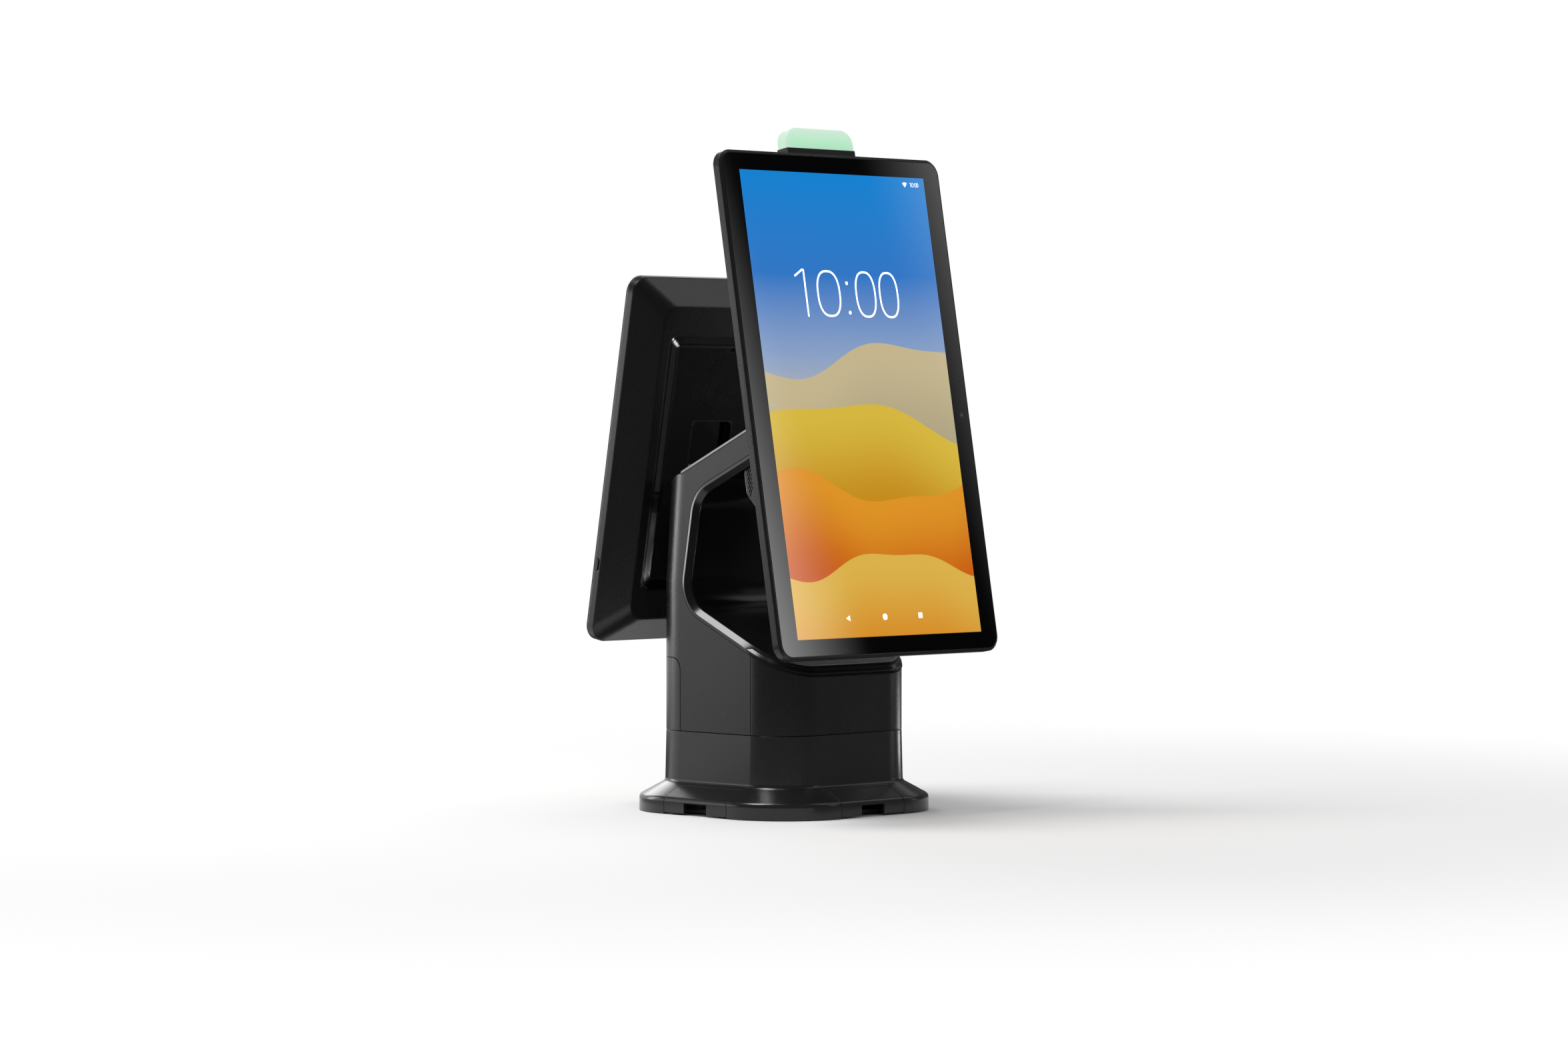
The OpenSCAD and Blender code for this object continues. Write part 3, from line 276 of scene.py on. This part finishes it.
def moulded(name, dark, light, grain, rough, depth, rounding, polish_and_shade=None, mirror=0.5):
    polish_shade_colour, polish_rough = (0.002, 0.002, 0.002), 0.1
    finish, shade = new_finish(name)
    point = surface_point(shade)
    fine = shade.node("ShaderNodeTexNoise", None, {"Vector": point, "Scale": grain, "Detail": 3.0})
    broad = shade.node("ShaderNodeTexNoise", None, {"Vector": point, "Scale": 9.0, "Detail": 3.0})
    tint = mixed(shade, smooth(fine * 0.6 + broad * 0.4, 0.3, 0.7), dark, light)
    shine = broad * 0.12 + fine * 0.06 + (rough - 0.09)
    # Inside the mask the roughness drops to a real polish, and the colour is painted near black as shade in
    # the recess.
    if polish_and_shade:
        plain = 1 - polish_and_shade(*parts_of(point))
        tint = mixed(shade, plain, polish_shade_colour, tint)
        shine = shine * plain + (1 - plain) * polish_rough
        fine = fine * plain
    relief = {"Strength": 0.35, "Distance": depth, "Height": fine}
    if rounding:
        relief["Normal"] = rounded(shade, rounding)
    coat(shade, {"Base Color": tint, "Roughness": shine, "Specular IOR Level": mirror,
                 "Normal": shade.node("ShaderNodeBump", None, relief)})
    return finish


plate_steel = brushed("plate_steel", (0.52, 0.53, 0.54), rough=0.36, along=(40, 900, 900))
turned_steel = brushed("turned_steel", (0.58, 0.58, 0.59), rough=0.28, along=(500, 500, 500))
foot_rubber = moulded("foot_rubber", (0.012, 0.012, 0.012), (0.022, 0.022, 0.022),
                      grain=900.0, rough=0.78, depth=0.0003, rounding=0.0004)
black_coat = moulded("black_coat", (0.0045, 0.0045, 0.0048), (0.0075, 0.0075, 0.0078),
                     grain=700.0, rough=0.5, depth=0.0001, rounding=0.0003)
dress(black_coat, "base_plate")
dress(turned_steel, "base_screws")
dress(foot_rubber, "rubber_feet")

# The skirt and its four clip-in cable covers are moulded in charcoal plastic.
# A fine spark-etched grain takes the shine off, and each edge is slightly rounded.
skirt_plastic = moulded("skirt_plastic", (0.0105, 0.0106, 0.0110), (0.0155, 0.0157, 0.0162),
                        grain=2300.0, rough=0.21, depth=0.00006, rounding=0.0006)
dress(skirt_plastic, "base_skirt", "cable_cover_front", "cable_cover_rear",
      "cable_cover_left", "cable_cover_right")

# The post, arm beam and rear bracket are folded steel inside the column.
# The bronze bushes are pressed into them and carry the hinge shafts.
hinge_bronze = brushed("hinge_bronze", (0.45, 0.30, 0.14), rough=0.32, along=(700, 700, 700))
dress(plate_steel, "post", "arm_beam", "rear_bracket")
dress(hinge_bronze, "main_bushes", "rear_bushes")

# The column is a neck shell, a front cover and a pull-off rear door, moulded in a darker charcoal plastic.
# The neck's open gap has a smooth, nearly black liner clipped inside it.
CHARCOAL = (0.0062, 0.0063, 0.0066)
PALE_CHARCOAL = (0.0092, 0.0094, 0.0098)
case_plastic = moulded("case_plastic", CHARCOAL, PALE_CHARCOAL,
                       grain=2300.0, rough=0.27, depth=0.00012, rounding=0.0004)
liner_plastic = moulded("liner_plastic", (0.0028, 0.0028, 0.003), (0.0044, 0.0044, 0.0047),
                        grain=1500.0, rough=0.2, depth=0.00001, rounding=0, mirror=0.25)
dress(case_plastic, "neck_shell", "front_cover", "rear_door")
dress(liner_plastic, "neck_liner")


# A thin glossy trim is clipped round the neck's opening, up both cheeks and along the front lip.
# It is one moulded strip that sits over the opening's slanted edge, a little proud of the cheeks.
# A thin near-black strip along its outer edge is painted shade, standing for the shade in the gap beside the
# cheek.
SLOPE = math.radians(24.5)
bend, half_column, corner = 0.032, 0.1, 0.048
upper, lower = Vector((-0.0045, 0.3018)), Vector((0.007, 0.2357))
lean_in = math.atan2(lower.x - upper.x, upper.y - lower.y)
upper_step, lower_step, straight_steps, arc_steps = 0.0076, 0.007, 10, 16
cheek_edge, lip_edge = 0.0048, 0.0073
# The strip's flat section is a sheet on the cheek, painted shade for the gap beside the trim.
seam_shade_strip = [(0.0090, 0.00003), (0.0090, 0.00006), (0.0080, 0.00006), (0.0080, 0.00003)]


def strip(edge):
    return [(0.0081, 0.00005), (0.0080, 0.00025), (edge + 0.0003, 0.00083), (edge, 0.0007), (0.0, -0.0041),
            (0.0, -0.0048), (0.0050, 0.0001)]


def turned_out(turn):
    return Vector((math.cos(turn), math.sin(turn)))


def cheek_line():
    up_turn, low_turn = math.pi / 2 - SLOPE, SLOPE - math.pi / 2
    up_out, low_out = turned_out(up_turn), turned_out(low_turn)
    up_along, low_along = turned_out(math.pi - SLOPE), turned_out(SLOPE)
    marks = [(upper + bend * up_out + up_along * upper_step * i, up_out)
             for i in range(straight_steps, 0, -1)]
    for centre, first, last in ((upper, up_turn, lean_in), (lower, lean_in, low_turn)):
        for i in range(arc_steps + 1):
            out = turned_out(first + (last - first) * i / arc_steps)
            marks.append((centre + bend * out, out))
    for i in range(1, straight_steps + 1):
        marks.append((lower + bend * low_out - low_along * lower_step * i, low_out))
    return marks


def trim_side(side, cheek, front):
    rows = [[(side * (half_column + h), at.x + d * out.x, at.y + d * out.y) for d, h in cheek]
            for at, out in cheek_line()]
    flat = half_column - corner
    for i in range(arc_steps + 1):
        turn = math.pi / 2 * i / arc_steps
        row = []
        for d, h in front:
            y = -flat - (corner + h) * math.sin(turn)
            z = lower.y - (bend + d) / math.cos(SLOPE) + (y - lower.x) * math.tan(SLOPE)
            row.append((side * (flat + (corner + h) * math.cos(turn)), y, z))
        rows.append(row)
    return rows


def piece(name, form, finish, body):
    sharp_edge = math.radians(14)
    bmesh.ops.recalc_face_normals(form, faces=form.faces)
    mesh = bpy.data.meshes.new(name)
    form.to_mesh(mesh)
    form.free()
    mesh.shade_smooth()
    mesh.set_sharp_from_angle(angle=sharp_edge)
    mesh.materials.append(finish)
    made = bpy.data.objects.new(name, mesh)
    scene.collection.objects.link(made)
    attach(made, body)


def sweep(form, rows):
    rows = [[form.verts.new(spot) for spot in row] for row in rows]
    for one, two in zip(rows, rows[1:]):
        for k in range(len(one)):
            form.faces.new((one[k - 1], one[k], two[k], two[k - 1]))
    form.faces.new(rows[0])
    form.faces.new(rows[-1][::-1])


trim_plastic = moulded("trim_plastic", (0.0035, 0.0035, 0.0037), (0.0052, 0.0052, 0.0055),
                       grain=1500.0, rough=0.2, depth=0.00001, rounding=0.0002)
# This near-black rough finish is painted shade for the gap beside the trim.
painted_seam_shade = moulded("painted_seam_shade", (0.0008, 0.0008, 0.0008), (0.0014, 0.0014, 0.0014),
                     grain=1500.0, rough=0.8, depth=0.00002, rounding=0)
for name, cheek, front, finish in (("neck_trim", strip(cheek_edge), strip(lip_edge), trim_plastic),
                                   ("neck_trim_seam_shade", seam_shade_strip, seam_shade_strip, painted_seam_shade)):
    form = bmesh.new()
    sweep(form, trim_side(-1, cheek, front) + trim_side(1, cheek, front)[::-1])
    piece(name, form, finish, "stand")

# Two straight strips of the same trim lie along the arm's top edges, one on each side.
# Each is a slim wedge pressed on to the edge's chamfer.
wedge = [(0.0029, -0.0001), (0.0014, 0.0), (-0.0001, -0.0036), (-0.00004, -0.0037), (-0.00003, -0.0030)]
arm_back, arm_front = 0.051, -0.061
edge_y, edge_z = -0.052, 0.3966
form = bmesh.new()
for side in (-1, 1):
    rows = []
    for y in (arm_back, arm_front):
        top = edge_z - (y - edge_y) * math.tan(SLOPE)
        rows.append([(side * (half_column - a), y + b * math.sin(SLOPE), top + b * math.cos(SLOPE))
                     for a, b in wedge])
    sweep(form, rows)
piece("arm_strips", form, trim_plastic, "stand")


# The power supply and port board stand inside the column, behind the rear door.
# The board is green laminate with copper lines, and its ports are pressed steel shells.
# The displays and the light bar hold boards of the same laminate, and black speaker and camera modules.
def laminate(name):
    finish, shade = new_finish(name)
    cells = shade.node("ShaderNodeTexVoronoi", {"feature": "DISTANCE_TO_EDGE"},
                       {"Vector": surface_point(shade), "Scale": 190.0})
    lines = smooth(cells, 0.03, 0.07)
    relief = shade.node("ShaderNodeBump", None, {"Strength": 0.3, "Distance": 0.0001, "Height": lines})
    coat(shade, {"Base Color": mixed(shade, lines, (0.10, 0.19, 0.06), (0.012, 0.085, 0.034)),
                 "Roughness": lines * 0.1 + 0.3, "Normal": relief})
    return finish


circuit_board = laminate("circuit_board")
dark_module = moulded("dark_module", (0.010, 0.010, 0.011), (0.019, 0.019, 0.020),
                      grain=1200.0, rough=0.5, depth=0.0001, rounding=0.0006)
dress(circuit_board, "io_board", "main_board", "rear_board", "light_board")
dress(turned_steel, "io_ports")
dress(dark_module, "power_supply", "main_speakers", "rear_speaker", "main_camera")

# Each display hangs on a steel shaft with nuts, spring washers and a screwed mount plate.
# The plates are pressed sheet steel, and the shafts, nuts and screws are turned.
dress(plate_steel, "main_mount_plate", "rear_mount_plate")
dress(turned_steel, "main_mount_screws", "rear_mount_screws", "main_shaft", "rear_shaft",
      "main_hinge_nuts", "rear_hinge_nuts", "main_washers", "rear_washers", "main_screws", "rear_screws")

# The hub and the large display's housing are charcoal mouldings, screwed from behind.
# Both front frames, the port cover and the power buttons are moulded to match.
dress(case_plastic, "hub_housing", "main_back", "main_frame", "port_cover", "main_button",
      "rear_frame", "rear_button")

# The panels are dark glass cells, hidden behind the cover glass.
# They lie in folded aluminium trays that are screwed into the housings.
tray_aluminium = brushed("tray_aluminium", (0.70, 0.71, 0.72), rough=0.34, along=(900, 60, 900))
dress(tray_aluminium, "main_chassis", "rear_chassis")
dress(dark_module, "main_panel", "rear_panel")

# The small display's back is moulded with the same grain, and leans back with its display.
# Its recess has slanted walls with a real polish that lead down to the ribbed panel, and their near-black
# colour is painted shade in the recess.
LEAN = math.radians(10)
REAR_FRONT = Vector((0, 0.142, 0.363))
recess_half_wide, recess_half_high, recess_rim, recess_blur = 0.0812, 0.1337, 0.0357, 0.0004


def recess_walls(x, y, z):
    back = (y - REAR_FRONT.y) * -math.cos(LEAN) + (z - REAR_FRONT.z) * -math.sin(LEAN)
    up = (y - REAR_FRONT.y) * -math.sin(LEAN) + (z - REAR_FRONT.z) * math.cos(LEAN)
    sides = 1 - smooth(x.then("ABSOLUTE"), recess_half_wide, recess_half_wide + recess_blur)
    ends = 1 - smooth(up.then("ABSOLUTE"), recess_half_high, recess_half_high + recess_blur)
    return sides * ends * (1 - smooth(back, recess_rim, recess_rim + recess_blur / 2))


# The recess walls get a real polish and a painted shade: their colour is set near black.
rear_plastic = moulded("rear_plastic", CHARCOAL, PALE_CHARCOAL,
                       grain=2300.0, rough=0.27, depth=0.00012, rounding=0.003, polish_and_shade=recess_walls)
dress(rear_plastic, "rear_back")

# Each cover glass is one black-backed sheet, bonded into its frame, with the lit picture behind it.
# The picture is plain layered hills under a clear sky.
# The black border leaves a camera's lens and a microphone's pin hole clear, and the lens's pale middle is a
# painted highlight.
MAIN_FRONT = Vector((0, -0.112, 0.4189))


def picture_glass(name, centre, facing, half_wide, half_high, sky_stops, hills, lens, pin):
    blur, hill_fade = 0.0002, 0.11
    finish, shade = new_finish(name)
    point = surface_point(shade)
    x, y, z = parts_of(point)
    across = x * facing
    up = (y - centre.y) * (facing * math.sin(LEAN)) + (z - centre.z) * math.cos(LEAN)
    colour = shade.node("ShaderNodeValToRGB", {"stops": sky_stops}, {0: (up + half_high) / (2 * half_high)})
    for level, swell, stretch, start, low, high in hills:
        ridge = (across * stretch + start).then("SINE") * swell
        ripple = (across * (stretch * 2.3) + start * 3).then("SINE") * (swell * 0.3)
        below = ridge + ripple + level - up
        slope = mixed(shade, smooth(below, 0.0, hill_fade), high, low)
        colour = mixed(shade, smooth(below, -2 * blur, 2 * blur), colour, slope)
    sides = 1 - smooth(across.then("ABSOLUTE"), half_wide - blur, half_wide + blur)
    ends = 1 - smooth(up.then("ABSOLUTE"), half_high - blur, half_high + blur)

    def away_from(u, v):
        aside, above = across - u, up - v
        return (aside * aside + above * above).then("SQRT")

    lens_away = away_from(*lens)
    ring = smooth(lens_away, 0.0019, 0.0022) * (1 - smooth(lens_away, 0.0029, 0.0032))
    # The lens's pale middle is a painted highlight: its glint is set in the base colour.
    lens_glint = 1 - smooth(lens_away, 0.0010, 0.0014)
    pin_hole = 1 - smooth(away_from(*pin), 0.0006, 0.0008)
    smears = shade.node("ShaderNodeTexNoise", None, {"Vector": point, "Scale": 14.0, "Detail": 3.0})
    coat(shade, {"Base Color": mixed(shade, ring * 0.25 + lens_glint, (0.0025, 0.0025, 0.003), (0.10, 0.11, 0.13)),
                 "Roughness": smears * 0.03 + pin_hole * 0.9 + 0.04, "IOR": 1.5,
                 "Emission Color": mixed(shade, sides * ends, (0, 0, 0), colour), "Emission Strength": 1.0})
    return finish


main_glass = picture_glass(
    "main_cover_glass", MAIN_FRONT, facing=1, half_wide=0.1339, half_high=0.23805,
    sky_stops=[(0.0, (0.60, 0.30, 0.06)), (0.42, (0.58, 0.50, 0.36)), (0.6, (0.26, 0.36, 0.56)),
               (0.78, (0.03, 0.18, 0.55)), (1.0, (0.006, 0.22, 0.63))],
    hills=[(0.045, 0.018, 17.0, 0.4, (0.42, 0.36, 0.22), (0.55, 0.46, 0.27)),
           (-0.02, 0.022, 14.0, 2.1, (0.55, 0.25, 0.01), (0.66, 0.47, 0.05)),
           (-0.085, 0.017, 19.0, 4.0, (0.56, 0.10, 0.004), (0.72, 0.29, 0.018)),
           (-0.165, 0.013, 23.0, 1.2, (0.66, 0.24, 0.012), (0.70, 0.44, 0.07))],
    lens=(0.1463, -0.0116), pin=(0.1494, 0.0235))
rear_glass = picture_glass(
    "rear_cover_glass", REAR_FRONT, facing=-1, half_wide=0.0968, half_high=0.1721,
    sky_stops=[(0.0, (0.50, 0.30, 0.08)), (0.45, (0.52, 0.48, 0.38)), (0.7, (0.10, 0.26, 0.56)),
               (1.0, (0.008, 0.20, 0.58))],
    hills=[(-0.03, 0.014, 21.0, 1.0, (0.44, 0.36, 0.16), (0.58, 0.47, 0.22)),
           (-0.09, 0.012, 26.0, 3.0, (0.52, 0.22, 0.02), (0.66, 0.30, 0.03))],
    lens=(0.0, 0.182), pin=(0.03, 0.182))
dress(main_glass, "main_glass")
dress(rear_glass, "rear_glass")


# One more studio card shows in the large display's glass, dark in the middle and pale towards two corners.
# It stands where the camera's mirror image in the glass looks, parallel to the glass.
def on_main(u, w, v):
    return MAIN_FRONT + Vector((
        u, w * math.cos(LEAN) + v * math.sin(LEAN), v * math.cos(LEAN) - w * math.sin(LEAN)))


glass_out = Vector((0, -math.cos(LEAN), math.sin(LEAN)))
mirrored = camera.location - 2 * (camera.location - MAIN_FRONT).dot(glass_out) * glass_out
card_reach, card_half_wide, card_half_high = 1.22, 0.18, 0.28
finish, shade = new_finish("glass_card")
x, y, z = parts_of(surface_point(shade))
glass_x = (x - mirrored.x) / card_reach + mirrored.x
glass_y = (y - mirrored.y) / card_reach + (mirrored.y - MAIN_FRONT.y)
glass_z = (z - mirrored.z) / card_reach + (mirrored.z - MAIN_FRONT.z)
slant = glass_x + (glass_y * math.sin(LEAN) + glass_z * math.cos(LEAN)) * 0.22
low_left = (slant * -8.8 - 0.78).then("MAXIMUM").then("POWER", 1.6)
high_right = (slant * 8.9 - 0.86).then("MAXIMUM").then("POWER", 1.6)
pale = mixed(shade, low_left * 0.9 + high_right * 0.35, (0, 0, 0), (1, 1, 1))
coat(shade, {"Base Color": (0, 0, 0, 1), "Roughness": 1.0, "Specular IOR Level": 0.0,
             "Emission Color": pale, "Emission Strength": 4.6})
corners = [mirrored + (on_main(side * card_half_wide, 0, end * card_half_high) - mirrored) * card_reach
           for side, end in ((-1, -1), (1, -1), (1, 1), (-1, 1))]
reflector("glass_card", corners, [(0, 1, 2, 3)], finish)

# The picture shows a plain clock reading and a few plain marks, in white lines.
# They are thin raised ribbons on the glass, so that they stay sharp.
RIBBON_BACK, RIBBON_FRONT = -0.00005, -0.00015


def ribbon(form, points, closed, stroke):
    count = len(points)
    rows = []
    for i, (u, v) in enumerate(points):
        before = points[i - 1] if closed or i else points[i]
        after = points[(i + 1) % count] if closed or i < count - 1 else points[i]
        along = Vector((after[0] - before[0], after[1] - before[1])).normalized()
        side = Vector((-along.y, along.x)) * stroke / 2
        rim = ((-1, RIBBON_BACK), (1, RIBBON_BACK), (1, RIBBON_FRONT), (-1, RIBBON_FRONT))
        rows.append([form.verts.new(on_main(u + s * side.x, w, v + s * side.y)) for s, w in rim])
    for i in range(count if closed else count - 1):
        one, two = rows[i], rows[(i + 1) % count]
        for k in range(4):
            form.faces.new((one[k], one[(k + 1) % 4], two[(k + 1) % 4], two[k]))
    if not closed:
        form.faces.new(rows[0][::-1])
        form.faces.new(rows[-1])


def oval(u, v, half_u, half_v, steps=48):
    squareness = 0.8
    ring = []
    for i in range(steps):
        turn = 2 * math.pi * i / steps
        c, s = math.cos(turn), math.sin(turn)
        ring.append((u + half_u * math.copysign(abs(c) ** squareness, c),
                     v + half_v * math.copysign(abs(s) ** squareness, s)))
    return ring


def patch(form, points):
    back, front = ([form.verts.new(on_main(u, w, v)) for u, v in points] for w in (RIBBON_BACK, RIBBON_FRONT))
    form.faces.new(back)
    form.faces.new(front[::-1])
    for i in range(len(points)):
        form.faces.new((back[i - 1], front[i - 1], front[i], back[i]))


def clock(form, middle_u, middle_v, size, stroke):
    zero_half_high, line_inset, dot_radius, dot_stroke = 0.0231, 0.0012, 0.0010, 0.0018

    def at(points):
        return [(middle_u + u * size, middle_v + v * size) for u, v in points]

    one = [(-0.0745, 0.0172), (-0.0625, 0.0242), (-0.061, 0.0242), (-0.061, -0.0243)]
    ribbon(form, at(one), False, stroke)
    for left, right in ((-0.045, -0.011), (0.0107, 0.0407), (0.0454, 0.0741)):
        zero = oval((left + right) / 2, 0, (right - left) / 2 - line_inset, zero_half_high)
        ribbon(form, at(zero), True, stroke)
    for v in (0.0112, -0.0193):
        ribbon(form, at(oval(-0.0005, v, dot_radius, dot_radius, 16)), True, dot_stroke * size)


finish, shade = new_finish("lit_line")
glow = shade.node("ShaderNodeTexNoise", None, {"Vector": surface_point(shade), "Scale": 60.0})
tint = mixed(shade, glow, (0.93, 0.95, 0.97), (1, 1, 1))
coat(shade, {"Base Color": tint, "Roughness": 0.3, "Emission Color": tint, "Emission Strength": 0.9})
form = bmesh.new()
clock(form, 0, 0.1133, size=1, stroke=0.0021)
clock(form, 0.1186, 0.2305, size=0.085, stroke=0.00045)
piece("clock_reading", form, finish, "main_display")

fan_u, fan_v, fan_radius = 0.1045, 0.2278, 0.0052
fan = [(fan_u + fan_radius * math.sin(turn / 10), fan_v + fan_radius * math.cos(turn / 10))
       for turn in range(-7, 8)]
form = bmesh.new()
patch(form, [(-0.0563, -0.2155), (-0.0617, -0.2185), (-0.0563, -0.2215)])
patch(form, oval(-0.0056, -0.2185, 0.0032, 0.0032, 32))
patch(form, [(0.0434, -0.2213), (0.0491, -0.2213), (0.0491, -0.2156), (0.0434, -0.2156)])
patch(form, [(fan_u, fan_v)] + fan)
piece("screen_marks", form, finish, "main_display")

# The light bar on top is a dark moulded foot with a pale green diffuser.
# Small lamps on a board inside make it glow, strongest low down and paler at its ends.
low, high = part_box("light_diffuser")
half_long = (high.x - low.x) / 2
finish, shade = new_finish("glow_diffuser")
point = surface_point(shade)
x, _, z = parts_of(point)
rise = (z - low.z) / (high.z - low.z)
haze = shade.node("ShaderNodeTexNoise", None, {"Vector": point, "Scale": 40.0, "Detail": 2.0})
glow_stops = [(0.0, (0.46, 0.82, 0.56)), (0.5, (0.53, 0.92, 0.64)),
              (0.85, (0.66, 0.90, 0.72)), (1.0, (0.72, 0.90, 0.76))]
tint = shade.node("ShaderNodeValToRGB", {"stops": glow_stops}, {0: rise + haze * 0.1 - 0.05})
ends = smooth(x.then("ABSOLUTE"), half_long * 0.78, half_long)
tint = mixed(shade, ends * 0.6, tint, (0.70, 0.84, 0.73))
coat(shade, {"Base Color": mixed(shade, 0.85, tint, (0, 0, 0)), "Roughness": haze * 0.1 + 0.28,
             "Normal": rounded(shade, 0.0012), "Emission Color": tint, "Emission Strength": 0.8})
dress(finish, "light_diffuser")
dress(case_plastic, "light_foot")

# The hatch panel in the small display's back is moulded with fine slanted ribs.
# The ribs stop at the panel's edge and round the mount pocket.
ribbed_plastic = moulded("ribbed_plastic", (0.0055, 0.0055, 0.0058), (0.0085, 0.0085, 0.009),
                         grain=1900.0, rough=0.27, depth=0.00003, rounding=0.0002)
dress(ribbed_plastic, "hatch_panel")
half_u, half_v, face_w = 0.0605, 0.1208, 0.029
pitch, crest, rib_side = 0.00142, 0.00045, 0.0005 * 0.707
pockets = [(-0.0292, 0.0292, -0.0982, 0.0442), (-0.0203, -0.0097, 0.1165, 0.1300)]


def on_rear(u, w, v):
    turned = on_main(u, w, v) - MAIN_FRONT
    return REAR_FRONT + Vector((-turned.x, -turned.y, turned.z))


def ribbed(u, v):
    held = any(left < u < right and low_v < v < high_v for left, right, low_v, high_v in pockets)
    return abs(u) < half_u and abs(v) < half_v and not held


def rib(form, first, last):
    rows = []
    for u, v in (first, last):
        rows.append([form.verts.new(on_rear(u + s * rib_side, w, v + s * rib_side))
                     for s, w in ((-1, face_w), (0, face_w + crest), (1, face_w))])
    for k in range(3):
        form.faces.new((rows[0][k], rows[0][(k + 1) % 3], rows[1][(k + 1) % 3], rows[1][k]))
    form.faces.new(rows[0][::-1])
    form.faces.new(rows[1])


step = 0.0005
shortest = 4 * step
line_gap = pitch * math.sqrt(2)
line_count = int((half_u + half_v) / line_gap)
form = bmesh.new()
for i in range(-line_count, line_count + 1):
    offset = i * line_gap
    began = None
    for j in range(int(2 * half_u / step) + 2):
        u = -half_u + j * step
        now = ribbed(u, offset - u)
        if now and began is None:
            began = u
        if not now and began is not None:
            if u - began > shortest:
                rib(form, (began, offset - began), (u - step, offset - u + step))
            began = None
piece("hatch_ribs", form, ribbed_plastic, "rear_display")

low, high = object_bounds()
